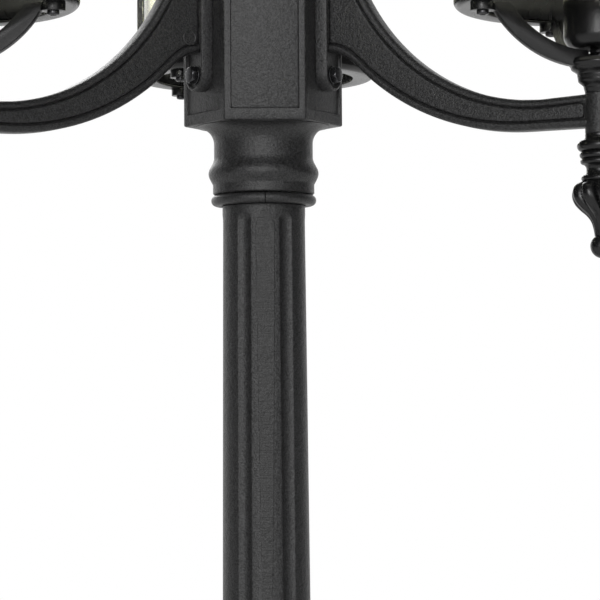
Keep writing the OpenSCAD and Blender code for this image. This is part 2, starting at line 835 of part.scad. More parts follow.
module minute_hand(s) {
    color(hand_black) facing(s) rotate([0, minute_turn, 0]) translate([0, -minute_y, 0])
        rotate([90, 0, 0]) linear_extrude(hand_t) hand_blade(minute_len, 10, 62, arbor_r);
}

module front_minute_hand() { minute_hand(-1); }
module rear_minute_hand() { minute_hand(1); }

// Hour hand on the pipe that turns around the minute arbor
module hour_hand(s) {
    color(hand_black) facing(s) difference() {
        union() {
            rotate([0, hour_turn, 0]) translate([0, -hour_y, 0]) rotate([90, 0, 0])
                linear_extrude(hand_t) hand_blade(hour_len, 13, 46, arbor_r);
            along_y(pipe_r, -58.5, -movement_half + 6);
        }
        along_y(arbor_r + running, -100, 0);
    }
}

module front_hour_hand() { hour_hand(-1); }
module rear_hour_hand() { hour_hand(1); }

module clock_finial() {
    base = clock_z + drum_r - 12;
    color(cast_black) difference() {
        translate([0, 0, base]) turned([[0, 58], [14, 52], [24, 24], [30, 30], [36, 16],
            [46, 12], [58, 26], [78, 20], [96, 6], [118, 1.5]]);
        translate([0, 0, clock_z]) along_y(drum_r, -200, 200, 128);
    }
}

pedestal();
access_door();
door_hinge_pins();
door_lock();
fuse_unit();
pedestal_cap();
column_shaft();
collar_ring();
neck();
hub_body();
hub_cap();
arm_right();
arm_left();
arm_back();
arm_bolts();
arm_washers();
pendant_right();
pendant_left();
pendant_back();
cradle_right();
cradle_left();
cradle_back();
pan_right();
pan_left();
pan_back();
cage_right();
cage_left();
cage_back();
panes_right();
panes_left();
panes_back();
roof_right();
roof_left();
roof_back();
roof_finial_right();
roof_finial_left();
roof_finial_back();
lamp_cups();
lampholders();
bulbs();
cradle_screws();
roof_hinge_pins();
clock_stem();
drum_case();
movement();
clock_finial();
bezel_hinge_pins();
front_dial();
rear_dial();
front_bezel();
rear_bezel();
front_glass();
rear_glass();
front_minute_arbor();
rear_minute_arbor();
front_minute_hand();
rear_minute_hand();
front_hour_hand();
rear_hour_hand();
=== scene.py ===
import math

import bmesh
import bpy
from mathutils import Matrix, Vector


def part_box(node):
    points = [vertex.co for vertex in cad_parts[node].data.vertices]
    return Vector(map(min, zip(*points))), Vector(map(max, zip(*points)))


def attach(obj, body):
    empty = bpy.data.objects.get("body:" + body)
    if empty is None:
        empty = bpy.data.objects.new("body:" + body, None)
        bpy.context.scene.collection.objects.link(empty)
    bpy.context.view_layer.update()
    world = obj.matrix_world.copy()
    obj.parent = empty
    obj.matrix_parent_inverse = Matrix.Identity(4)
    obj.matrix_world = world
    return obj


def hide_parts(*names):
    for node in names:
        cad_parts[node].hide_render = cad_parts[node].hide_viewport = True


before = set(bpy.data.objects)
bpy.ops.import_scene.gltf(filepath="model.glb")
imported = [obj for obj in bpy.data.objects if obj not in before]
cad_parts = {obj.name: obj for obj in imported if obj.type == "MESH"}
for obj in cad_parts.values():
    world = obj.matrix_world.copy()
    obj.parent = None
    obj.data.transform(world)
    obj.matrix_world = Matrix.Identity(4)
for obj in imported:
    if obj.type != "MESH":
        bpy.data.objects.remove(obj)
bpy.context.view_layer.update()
scene = bpy.context.scene
mm = 0.001

print("frame loaded:", len(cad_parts), "nodes")


# where things are, read from the frame
def centreOf(node):
    low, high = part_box(node)
    return (low + high) / 2


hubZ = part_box("hub_body")[0].z      # every level below is measured from the hub's underside
sides = ["right", "left", "back"]
armAngle = {}
lanternAt = {}
for side in sides:
    middle = centreOf("pendant_" + side)
    lanternAt[side] = Vector((middle.x, middle.y, hubZ))
    armAngle[side] = math.atan2(middle.y, middle.x)
armReach = lanternAt["back"].xy.length / mm
clockZ = centreOf("front_dial").z


def levelsOf(node):
    # lowest and highest level of a node above the hub's underside, in millimetres
    low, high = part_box(node)
    return (low.z - hubZ) / mm, (high.z - hubZ) / mm


def halfWidthOf(node):
    low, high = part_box(node)
    return (high.x - low.x) / 2 / mm


cameraSetup = {
    "place": (-0.0626, -2.3013, hubZ - 0.2496),
    "yaw": -2.33,       # turn to the left, degrees
    "pitch": 2.43,
    "roll": -0.43,
    "focal": 2640 / 600 * 36,
}


def makeCamera(setup):
    data = bpy.data.cameras.new("shopCamera")
    data.lens = setup["focal"]
    data.sensor_width = 36
    data.clip_end = 60
    yaw, pitch, roll = (math.radians(setup[k]) for k in ("yaw", "pitch", "roll"))
    forward = Vector((-math.sin(yaw) * math.cos(pitch), math.cos(yaw) * math.cos(pitch), math.sin(pitch)))
    across = Vector((math.cos(yaw), math.sin(yaw), 0))
    up = across.cross(forward)
    right = across * math.cos(roll) + up * math.sin(roll)
    up = up * math.cos(roll) - across * math.sin(roll)
    camera = bpy.data.objects.new("shopCamera", data)
    turn = Matrix((right, up, -forward)).transposed().to_4x4()
    camera.matrix_world = Matrix.Translation(setup["place"]) @ turn
    scene.collection.objects.link(camera)
    scene.camera = camera


makeCamera(cameraSetup)


def nodeIn(tree, kind, **inputs):
    node = tree.nodes.new(kind)
    for key, value in inputs.items():
        node.inputs[key.replace("_", " ")].default_value = value
    return node


def mathIn(tree, operation, first, second=None, clamp=False):
    node = tree.nodes.new("ShaderNodeMath")
    node.operation = operation
    node.use_clamp = clamp
    for slot, value in ((0, first), (1, second)):
        if value is None:
            continue
        if isinstance(value, (int, float)):
            node.inputs[slot].default_value = value
        else:
            tree.links.new(value, node.inputs[slot])
    return node.outputs[0]


def newGroup(name, inputs, outputs):
    group = bpy.data.node_groups.new(name, "ShaderNodeTree")
    for label, kind, value in inputs:
        socket = group.interface.new_socket(label, in_out="INPUT", socket_type=kind)
        socket.default_value = value
    for label, kind in outputs:
        group.interface.new_socket(label, in_out="OUTPUT", socket_type=kind)
    return group, group.nodes.new("NodeGroupInput"), group.nodes.new("NodeGroupOutput")


def makeGrainGroup():
    group, given, result = newGroup("castGrain", [
        ("Vector", "NodeSocketVector", (0, 0, 0)),
        ("Grain Scale", "NodeSocketFloat", 900.0),
        ("Cloud Scale", "NodeSocketFloat", 14.0),
        ("Peel", "NodeSocketFloat", 0.5),
    ], [("Height", "NodeSocketFloat"), ("Speckle", "NodeSocketFloat"), ("Cloud", "NodeSocketFloat")])
    fine = nodeIn(group, "ShaderNodeTexNoise", Detail=3.0, Roughness=0.62)
    peel = nodeIn(group, "ShaderNodeTexNoise", Detail=1.0)
    cloud = nodeIn(group, "ShaderNodeTexNoise", Detail=4.0)
    third = mathIn(group, "MULTIPLY", given.outputs["Grain Scale"], 0.3)
    for texture, scale in ((fine, given.outputs["Grain Scale"]), (peel, third),
                           (cloud, given.outputs["Cloud Scale"])):
        group.links.new(given.outputs["Vector"], texture.inputs["Vector"])
        group.links.new(scale, texture.inputs["Scale"])
    broad = mathIn(group, "MULTIPLY", peel.outputs[0], given.outputs["Peel"])
    group.links.new(mathIn(group, "ADD", fine.outputs[0], broad), result.inputs["Height"])
    group.links.new(fine.outputs[0], result.inputs["Speckle"])
    group.links.new(cloud.outputs[0], result.inputs["Cloud"])
    return group


def makeDustGroup():
    # pale dust that settles on faces that look up, broken by noise
    group, given, result = newGroup("settledDust", [
        ("Vector", "NodeSocketVector", (0, 0, 0)),
        ("Amount", "NodeSocketFloat", 0.3),
    ], [("Mask", "NodeSocketFloat")])
    surface = group.nodes.new("ShaderNodeNewGeometry")
    split = group.nodes.new("ShaderNodeSeparateXYZ")
    group.links.new(surface.outputs["Normal"], split.inputs[0])
    facing = mathIn(group, "MULTIPLY_ADD", split.outputs[2], 1.6, clamp=True)
    facing.node.inputs[2].default_value = -0.6
    noise = nodeIn(group, "ShaderNodeTexNoise", Scale=45.0, Detail=5.0, Roughness=0.65)
    group.links.new(given.outputs["Vector"], noise.inputs["Vector"])
    patchy = mathIn(group, "MULTIPLY_ADD", noise.outputs[0], 2.4, clamp=True)
    patchy.node.inputs[2].default_value = -0.7
    both = mathIn(group, "MULTIPLY", facing, patchy)
    group.links.new(mathIn(group, "MULTIPLY", both, given.outputs["Amount"]), result.inputs["Mask"])
    return group


grainGroup = makeGrainGroup()
dustGroup = makeDustGroup()


def startMaterial(name):
    material = bpy.data.materials.new(name)
    material.use_nodes = True
    tree = material.node_tree
    shader = tree.nodes["Principled BSDF"]
    coords = tree.nodes.new("ShaderNodeTexCoord")
    return material, tree, shader, coords.outputs["Object"]


def placeGroup(tree, group, coords, **values):
    node = tree.nodes.new("ShaderNodeGroup")
    node.node_tree = group
    tree.links.new(coords, node.inputs["Vector"])
    for key, value in values.items():
        node.inputs[key.replace("_", " ")].default_value = value
    return node


def rampIn(tree, factor, stops):
    ramp = tree.nodes.new("ShaderNodeValToRGB")
    while len(ramp.color_ramp.elements) < len(stops):
        ramp.color_ramp.elements.new(0.5)
    for element, (place, colour) in zip(ramp.color_ramp.elements, stops):
        element.position = place
        element.color = (*colour, 1)
    tree.links.new(factor, ramp.inputs[0])
    return ramp.outputs[0]


def mixColours(tree, factor, first, second):
    node = tree.nodes.new("ShaderNodeMix")
    node.data_type = "RGBA"
    tree.links.new(factor, node.inputs[0])
    for slot, value in ((6, first), (7, second)):
        if isinstance(value, tuple):
            node.inputs[slot].default_value = (*value, 1)
        else:
            tree.links.new(value, node.inputs[slot])
    return node.outputs[2]


def bumpIn(tree, height, strength, distance, shader):
    bump = nodeIn(tree, "ShaderNodeBump", Strength=strength, Distance=distance)
    tree.links.new(height, bump.inputs["Height"])
    tree.links.new(bump.outputs[0], shader.inputs["Normal"])


def grainyMaterial(name, look):
    material, tree, shader, coords = startMaterial(name)
    grain = placeGroup(tree, grainGroup, coords, Grain_Scale=look["grain"],
                       Cloud_Scale=look.get("cloud", 14.0),
                       Peel=look.get("peel", 0.5))
    dark, light = look["dark"], look["light"]
    spread = look.get("spread", 0.18)
    colour = rampIn(tree, grain.outputs["Speckle"], [(0.5 - spread, dark), (0.5 + spread, light)])
    clouded = mixColours(tree, mathIn(tree, "MULTIPLY", grain.outputs["Cloud"], look.get("cloudy", 0.35)),
                         colour, look.get("cloudTint", light))
    if look.get("dust", 0):
        dust = placeGroup(tree, dustGroup, coords, Amount=look["dust"])
        clouded = mixColours(tree, dust.outputs["Mask"], clouded, look.get("dustTint", (0.17, 0.165, 0.155)))
    tree.links.new(clouded, shader.inputs["Base Color"])
    low, high = look["rough"]
    rough = mathIn(tree, "MULTIPLY_ADD", grain.outputs["Cloud"], high - low)
    rough.node.inputs[2].default_value = low
    tree.links.new(rough, shader.inputs["Roughness"])
    shader.inputs["Metallic"].default_value = look.get("metal", 0.0)
    shader.inputs["Specular IOR Level"].default_value = look.get("specular", 0.5)
    height = grain.outputs["Height"]
    if "scuffs" in look:
        # file marks across the dressed-off casting seam
        seam = tree.nodes.new("ShaderNodeAttribute")
        seam.attribute_name = "dressed"
        stretch = tree.nodes.new("ShaderNodeMapping")
        stretch.inputs["Scale"].default_value = look["scuffs"]
        tree.links.new(coords, stretch.inputs["Vector"])
        marks = nodeIn(tree, "ShaderNodeTexNoise", Scale=1.0, Detail=3.0)
        tree.links.new(stretch.outputs[0], marks.inputs["Vector"])
        height = mathIn(tree, "ADD", height, mathIn(tree, "MULTIPLY", marks.outputs[0], seam.outputs["Fac"]))
        worn = mathIn(tree, "MULTIPLY", seam.outputs["Fac"], mathIn(tree, "MULTIPLY", marks.outputs[0], 0.9))
        tree.links.new(mixColours(tree, worn, clouded, (0.004, 0.004, 0.004)), shader.inputs["Base Color"])
    bumpIn(tree, height, look.get("bump", 0.3), look.get("depth", 0.0004), shader)
    return material


coatLook = {
    "grain": 700.0, "cloud": 9.0, "peel": 0.8, "dark": (0.0008, 0.0008, 0.0009), "light": (0.034, 0.034,
                                                                                           0.035),
    "cloudTint": (0.018, 0.018, 0.019), "cloudy": 0.25, "rough": (0.33, 0.42), "bump": 0.7, "depth": 0.0008,
    "spread": 0.11, "dust": 0.08,
}
blackCoat = grainyMaterial("blackPowderCoat", coatLook)
shaftCoat = grainyMaterial("blackPowderCoatOnSeam", {**coatLook, "scuffs": (30.0, 30.0, 620.0)})
# glossier, smoother black coat for the drops, cradles, pans, cups and cages; its base colour is darker than
# the black coat, and that darkness is painted shade for these parts under and inside the lanterns
glossCoatPaintedShade = grainyMaterial("blackGlossCoatPaintedShade", {
    "grain": 700.0, "cloud": 12.0, "peel": 0.6, "dark": (0.0012, 0.0012, 0.0013), "light": (0.0075, 0.0075,
                                                                                            0.008),
    "rough": (0.22, 0.31), "bump": 0.35, "depth": 0.0004, "dust": 0.05})
blackZinc = grainyMaterial("blackZincFastener", {
    "grain": 2600.0, "cloud": 60.0, "peel": 0.3, "dark": (0.03, 0.03, 0.033), "light": (0.09, 0.09, 0.094),
    "metal": 0.85, "rough": (0.16, 0.3), "bump": 0.16, "depth": 0.0002})
dialEnamel = grainyMaterial("dialEnamel", {
    "grain": 420.0, "cloud": 5.0, "peel": 1.0, "dark": (0.79, 0.765, 0.68), "light": (0.84, 0.82, 0.74),
    "cloudTint": (0.72, 0.68, 0.57), "cloudy": 0.35, "rough": (0.2, 0.3), "bump": 0.05, "depth": 0.0003})
dialBlack = grainyMaterial("dialBlackEnamel", {
    "grain": 900.0, "dark": (0.012, 0.012, 0.014), "light": (0.02, 0.02, 0.022), "rough": (0.25, 0.35),
    "bump": 0.08, "depth": 0.0002})
handPaint = grainyMaterial("handPaint", {
    "grain": 1500.0, "dark": (0.008, 0.008, 0.01), "light": (0.016, 0.016, 0.018), "rough": (0.22, 0.34),
    "bump": 0.1, "depth": 0.0002})
whiteCeramic = grainyMaterial("whiteCeramic", {
    "grain": 300.0, "dark": (0.74, 0.73, 0.68), "light": (0.81, 0.80, 0.76), "rough": (0.12, 0.22),
    "bump": 0.05, "depth": 0.0004})
brassBar = grainyMaterial("brassBar", {
    "grain": 2200.0, "dark": (0.48, 0.34, 0.12), "light": (0.62, 0.46, 0.19), "metal": 1.0, "rough": (0.25,
                                                                                                      0.4),
    "bump": 0.15, "depth": 0.0002})
castGrey = grainyMaterial("dieCastGrey", {
    "grain": 1100.0, "dark": (0.36, 0.37, 0.38), "light": (0.46, 0.47, 0.48), "metal": 0.85, "rough": (0.4,
                                                                                                       0.52),
    "bump": 0.3, "depth": 0.0004})
greyPlastic = grainyMaterial("greyPlasticBox", {
    "grain": 1600.0, "dark": (0.36, 0.37, 0.38), "light": (0.42, 0.43, 0.44), "rough": (0.42, 0.55),
    "bump": 0.3, "depth": 0.0002, "dust": 0.2})
sealRubber = grainyMaterial("sealRubber", {
    "grain": 1300.0, "dark": (0.012, 0.012, 0.012), "light": (0.022, 0.022, 0.021), "rough": (0.6, 0.75),
    "bump": 0.25, "depth": 0.0003})


def glassMaterial(name, tint, roughness, ior, streaks):
    material, tree, shader, coords = startMaterial(name)
    shader.inputs["Transmission Weight"].default_value = 1.0
    shader.inputs["IOR"].default_value = ior
    noise = nodeIn(tree, "ShaderNodeTexNoise", Scale=streaks, Detail=4.0, Roughness=0.6)
    tree.links.new(coords, noise.inputs["Vector"])
    colour = rampIn(tree, noise.outputs[0], [(0.3, tuple(c * 0.93 for c in tint)), (0.7, tint)])
    tree.links.new(colour, shader.inputs["Base Color"])
    rough = mathIn(tree, "MULTIPLY_ADD", noise.outputs[0], 0.06)
    rough.node.inputs[2].default_value = roughness
    tree.links.new(rough, shader.inputs["Roughness"])
    bumpIn(tree, noise.outputs[0], 0.04, 0.0008, shader)
    return material


paneGlass = glassMaterial("paleLanternPane", (0.93, 0.93, 0.80), 0.05, 1.45, 24.0)
dialGlass = glassMaterial("clearDialGlass", (0.98, 0.99, 0.99), 0.0, 1.45, 6.0)


def makeBulbMaterial():
    material, tree, shader, coords = startMaterial("opalBulb")
    noise = nodeIn(tree, "ShaderNodeTexNoise", Scale=180.0, Detail=2.0)
    tree.links.new(coords, noise.inputs["Vector"])
    tree.links.new(rampIn(tree, noise.outputs[0], [(0.3, (0.82, 0.81, 0.77)), (0.7, (0.86, 0.855, 0.82))]),
                   shader.inputs["Base Color"])
    shader.inputs["Roughness"].default_value = 0.28
    shader.inputs["Subsurface Weight"].default_value = 0.25
    shader.inputs["Subsurface Radius"].default_value = (0.012, 0.012, 0.01)
    bumpIn(tree, noise.outputs[0], 0.04, 0.0003, shader)
    return material


opalBulb = makeBulbMaterial()
print("materials ready")


def arc(centreR, centreZ, radius, start, end, steps=8):
    # points on a circle, angles in degrees, 0 pointing outwards and 90 up
    return [(centreR + radius * math.cos(math.radians(start + (end - start) * i / steps)),
             centreZ + radius * math.sin(math.radians(start + (end - start) * i / steps)))
            for i in range(steps + 1)]


def eased(stations, steps=10):
    # the turned outline of the castings: the radius eases between stations of (height, radius)
    points = []
    for (h0, r0), (h1, r1) in zip(stations, stations[1:]):
        for i in range(steps):
            t = i / steps
            points.append((r0 + (r1 - r0) * (1 - math.cos(math.pi * t)) / 2, h0 + (h1 - h0) * t))
    points.append((stations[-1][1], stations[-1][0]))
    return points


def lathe(outline, steps=96, closed=False, along="z", wave=None, span=None):
    # turns an outline of (radius, height) into vertices and faces; radius 0 makes a closed pole
    points, faces, rings = [], [], []
    turns = steps if span is None else steps + 1
    total = math.tau if span is None else math.radians(span[1] - span[0])
    begin = 0 if span is None else math.radians(span[0])
    for radius, height in outline:
        if radius < 1e-6:
            rings.append([len(points)])
            points.append((0, 0, height))
            continue
        ring = []
        for k in range(turns):
            angle = begin + total * k / steps
            r = radius * (wave(angle, height, radius) if wave else 1)
            ring.append(len(points))
            points.append((r * math.cos(angle), r * math.sin(angle), height))
        rings.append(ring)
    pairs = list(zip(rings, rings[1:]))
    if closed:
        pairs.append((rings[-1], rings[0]))
    for lower, upper in pairs:
        count = turns if span is None else steps
        for k in range(count):
            n = (k + 1) % turns
            if len(lower) == 1 and len(upper) == 1:
                continue
            if len(lower) == 1:
                faces.append((lower[0], upper[n], upper[k]))
            elif len(upper) == 1:
                faces.append((lower[k], lower[n], upper[0]))
            else:
                faces.append((lower[k], lower[n], upper[n], upper[k]))
    if span is not None and closed:
        faces.append([ring[0] for ring in rings])
        faces.append([ring[-1] for ring in rings])
    if along == "y":
        points = [(x, z, y) for x, y, z in points]
    return points, faces


def softBox(low, high, edge, segments=3):
    # a box with rounded edges
    shape = bmesh.new()
    bmesh.ops.create_cube(shape, size=1)
    size = Vector(high) - Vector(low)
    middle = (Vector(high) + Vector(low)) / 2
    for v in shape.verts:
        v.co = Vector(v.co[i] * size[i] for i in range(3)) + middle
    bmesh.ops.bevel(shape, geom=shape.edges[:], offset=edge, segments=segments, profile=0.5, affect="EDGES")
    points = [tuple(v.co) for v in shape.verts]
    faces = [tuple(v.index for v in f.verts) for f in shape.faces]
    shape.free()
    return points, faces


def moved(shape, offset=(0, 0, 0), turn=0.0, axis="Z"):
    spin = Matrix.Rotation(turn, 3, axis)
    return [tuple(spin @ Vector(p) + Vector(offset)) for p in shape[0]], shape[1]


def joined(*shapes):
    points, faces = [], []
    for shape in shapes:
        start = len(points)
        points += shape[0]
        faces += [tuple(i + start for i in f) for f in shape[1]]
    return points, faces


def finishPiece(piece, body, replaces=()):
    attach(piece, body)
    if replaces:
        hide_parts(*replaces)
    return piece


def meshPiece(name, shape, material, body, replaces=(), at=(0, 0, 0), turn=0.0, crease=35):
    # shape is in millimetres about its own centre; the mesh ends up in metres at its place
    spin = Matrix.Rotation(turn, 3, "Z")
    data = bpy.data.meshes.new(name)
    data.from_pydata([tuple(spin @ Vector(p) * mm + Vector(at)) for p in shape[0]], [], shape[1])
    work = bmesh.new()
    work.from_mesh(data)
    bmesh.ops.remove_doubles(work, verts=work.verts, dist=2e-6)
    bmesh.ops.recalc_face_normals(work, faces=work.faces)
    work.to_mesh(data)
    work.free()
    data.materials.append(material)
    data.shade_smooth()
    data.set_sharp_from_angle(angle=math.radians(crease))
    piece = bpy.data.objects.new(name, data)
    scene.collection.objects.link(piece)
    return finishPiece(piece, body, replaces)


def castCopy(name, node, edge, material, body, crease=40, segments=2):
    # a copy of a CAD solid with its sharp casting edges rounded
    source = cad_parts[node].data
    data = source.copy()
    work = bmesh.new()
    work.from_mesh(data)
    bmesh.ops.remove_doubles(work, verts=work.verts, dist=1e-5)
    bmesh.ops.dissolve_limit(work, angle_limit=math.radians(0.6), verts=work.verts, edges=work.edges)
    work.to_mesh(data)
    work.free()
    data.materials.clear()
    data.materials.append(material)
    piece = bpy.data.objects.new(name, data)
    scene.collection.objects.link(piece)
    bevel = piece.modifiers.new("castEdge", "BEVEL")
    bevel.width = edge * mm
    bevel.segments = segments
    bevel.limit_method = "ANGLE"
    bevel.angle_limit = math.radians(38)
    bevel.use_clamp_overlap = True
    bpy.context.view_layer.update()
    solid = bpy.data.meshes.new_from_object(piece.evaluated_get(bpy.context.evaluated_depsgraph_get()))
    piece.modifiers.remove(bevel)
    piece.data = solid
    solid.shade_smooth()
    solid.set_sharp_from_angle(angle=math.radians(crease))
    return finishPiece(piece, body, (node,))


def plainResult(name, host, body, replaces=(), crease=35):
    # turns a Geometry Nodes result into a plain mesh piece and removes its host
    bpy.context.view_layer.update()
    data = bpy.data.meshes.new_from_object(host.evaluated_get(bpy.context.evaluated_depsgraph_get()))
    bpy.data.objects.remove(host)
    work = bmesh.new()
    work.from_mesh(data)
    bmesh.ops.remove_doubles(work, verts=work.verts, dist=2e-6)
    bmesh.ops.holes_fill(work, edges=work.edges, sides=0)
    bmesh.ops.recalc_face_normals(work, faces=work.faces)
    for face in work.faces:
        face.material_index = 0
    work.to_mesh(data)
    work.free()
    paint = [material for material in data.materials if material][0]
    data.materials.clear()
    data.materials.append(paint)
    data.shade_smooth()
    data.set_sharp_from_angle(angle=math.radians(crease))
    piece = bpy.data.objects.new(name, data)
    scene.collection.objects.link(piece)
    return finishPiece(piece, body, replaces)


def newGeometryTree(name, inputs):
    tree = bpy.data.node_groups.new(name, "GeometryNodeTree")
    tree.interface.new_socket("Geometry", in_out="INPUT", socket_type="NodeSocketGeometry")
    for label, kind, value in inputs:
        socket = tree.interface.new_socket(label, in_out="INPUT", socket_type=kind)
        if value is not None:
            socket.default_value = value
    tree.interface.new_socket("Geometry", in_out="OUTPUT", socket_type="NodeSocketGeometry")
    return tree, tree.nodes.new("NodeGroupInput"), tree.nodes.new("NodeGroupOutput")


def link(tree, source, target):
    tree.links.new(source, target)


def endTree(tree, given, result, geometry):
    realize = tree.nodes.new("GeometryNodeRealizeInstances")
    paint = tree.nodes.new("GeometryNodeSetMaterial")
    link(tree, geometry, realize.inputs[0])
    link(tree, realize.outputs[0], paint.inputs["Geometry"])
    link(tree, given.outputs["Material"], paint.inputs["Material"])
    link(tree, paint.outputs[0], result.inputs[0])


def runTree(name, tree, hostData, values):
    host = bpy.data.objects.new(name + "Host", hostData)
    scene.collection.objects.link(host)
    modifier = host.modifiers.new(name, "NODES")
    modifier.node_group = tree
    for item in tree.interface.items_tree:
        if item.in_out == "INPUT" and item.name in values:
            modifier[item.identifier] = values[item.name]
    return host


def pointsWithFacing(name, places):
    # vertices that carry the direction each instance looks in
    data = bpy.data.meshes.new(name)
    data.from_pydata([p for p, _ in places], [], [])
    facing = data.attributes.new("facing", "FLOAT_VECTOR", "POINT")
    for k, (_, direction) in enumerate(places):
        facing.data[k].vector = direction
    return data


def makeFastenerTree():
    # a part from another object, put at every point and turned to look along "facing"
    tree, given, result = newGeometryTree("fastenerSet", [
        ("Part", "NodeSocketObject", None),
        ("Size", "NodeSocketFloat", 1.0),
        ("Turn", "NodeSocketFloat", 0.0),
        ("Seed", "NodeSocketInt", 3),
        ("Material", "NodeSocketMaterial", None),
    ])
    info = tree.nodes.new("GeometryNodeObjectInfo")
    link(tree, given.outputs["Part"], info.inputs["Object"])
    facing = tree.nodes.new("GeometryNodeInputNamedAttribute")
    facing.data_type = "FLOAT_VECTOR"
    facing.inputs["Name"].default_value = "facing"
    align = tree.nodes.new("FunctionNodeAlignRotationToVector")
    align.axis = "Z"
    link(tree, facing.outputs["Attribute"], align.inputs["Vector"])
    random = tree.nodes.new("FunctionNodeRandomValue")
    random.data_type = "FLOAT"
    link(tree, given.outputs["Turn"], random.inputs[3])
    link(tree, given.outputs["Seed"], random.inputs["Seed"])
    spin = tree.nodes.new("ShaderNodeCombineXYZ")
    link(tree, random.outputs[1], spin.inputs[2])
    toRotation = tree.nodes.new("FunctionNodeEulerToRotation")
    link(tree, spin.outputs[0], toRotation.inputs[0])
    turn = tree.nodes.new("FunctionNodeRotateRotation")
    turn.rotation_space = "LOCAL"
    link(tree, align.outputs[0], turn.inputs[0])
    link(tree, toRotation.outputs[0], turn.inputs[1])
    instance = tree.nodes.new("GeometryNodeInstanceOnPoints")
    link(tree, given.outputs["Geometry"], instance.inputs["Points"])
    link(tree, info.outputs["Geometry"], instance.inputs["Instance"])
    link(tree, turn.outputs[0], instance.inputs["Rotation"])
    scale = tree.nodes.new("ShaderNodeCombineXYZ")
    for k in range(3):
        link(tree, given.outputs["Size"], scale.inputs[k])
    link(tree, scale.outputs[0], instance.inputs["Scale"])
    endTree(tree, given, result, instance.outputs[0])
    return tree


fastenerTree = makeFastenerTree()


def partObject(name, shape):
    data = bpy.data.meshes.new(name)
    data.from_pydata([tuple(Vector(p) * mm) for p in shape[0]], [], shape[1])
    part = bpy.data.objects.new(name, data)
    return part


def scatterPart(name, shape, places, material, body, replaces=(), turn=0.0, seed=3, crease=30):
    part = partObject(name + "Part", shape)
    host = runTree(name, fastenerTree, pointsWithFacing(name, places), {
        "Part": part, "Size": 1.0, "Turn": turn, "Seed": seed, "Material": material})
    piece = plainResult(name, host, body, replaces, crease)
    bpy.data.objects.remove(part)
    return piece


columnLow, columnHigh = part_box("column_shaft")
column = {
    "topRadius": 0.0361,
    "bottomRadius": 0.0445,
    "top": columnHigh.z,
    "bottom": columnLow.z + 0.04,   # the spigot below is inside the pedestal cap
    "flutes": 6,
    "cutRadius": 0.008,
    "depth": 0.003,
    "fluteTop": 0.014,              # from the column's top to the centre of a flute's round end
    "fluteFoot": 0.060,
    "flatDepth": 0.001,
    "flatStart": 0.002,
    "flatFull": 0.020,
    "flatEnd": 0.470,
}


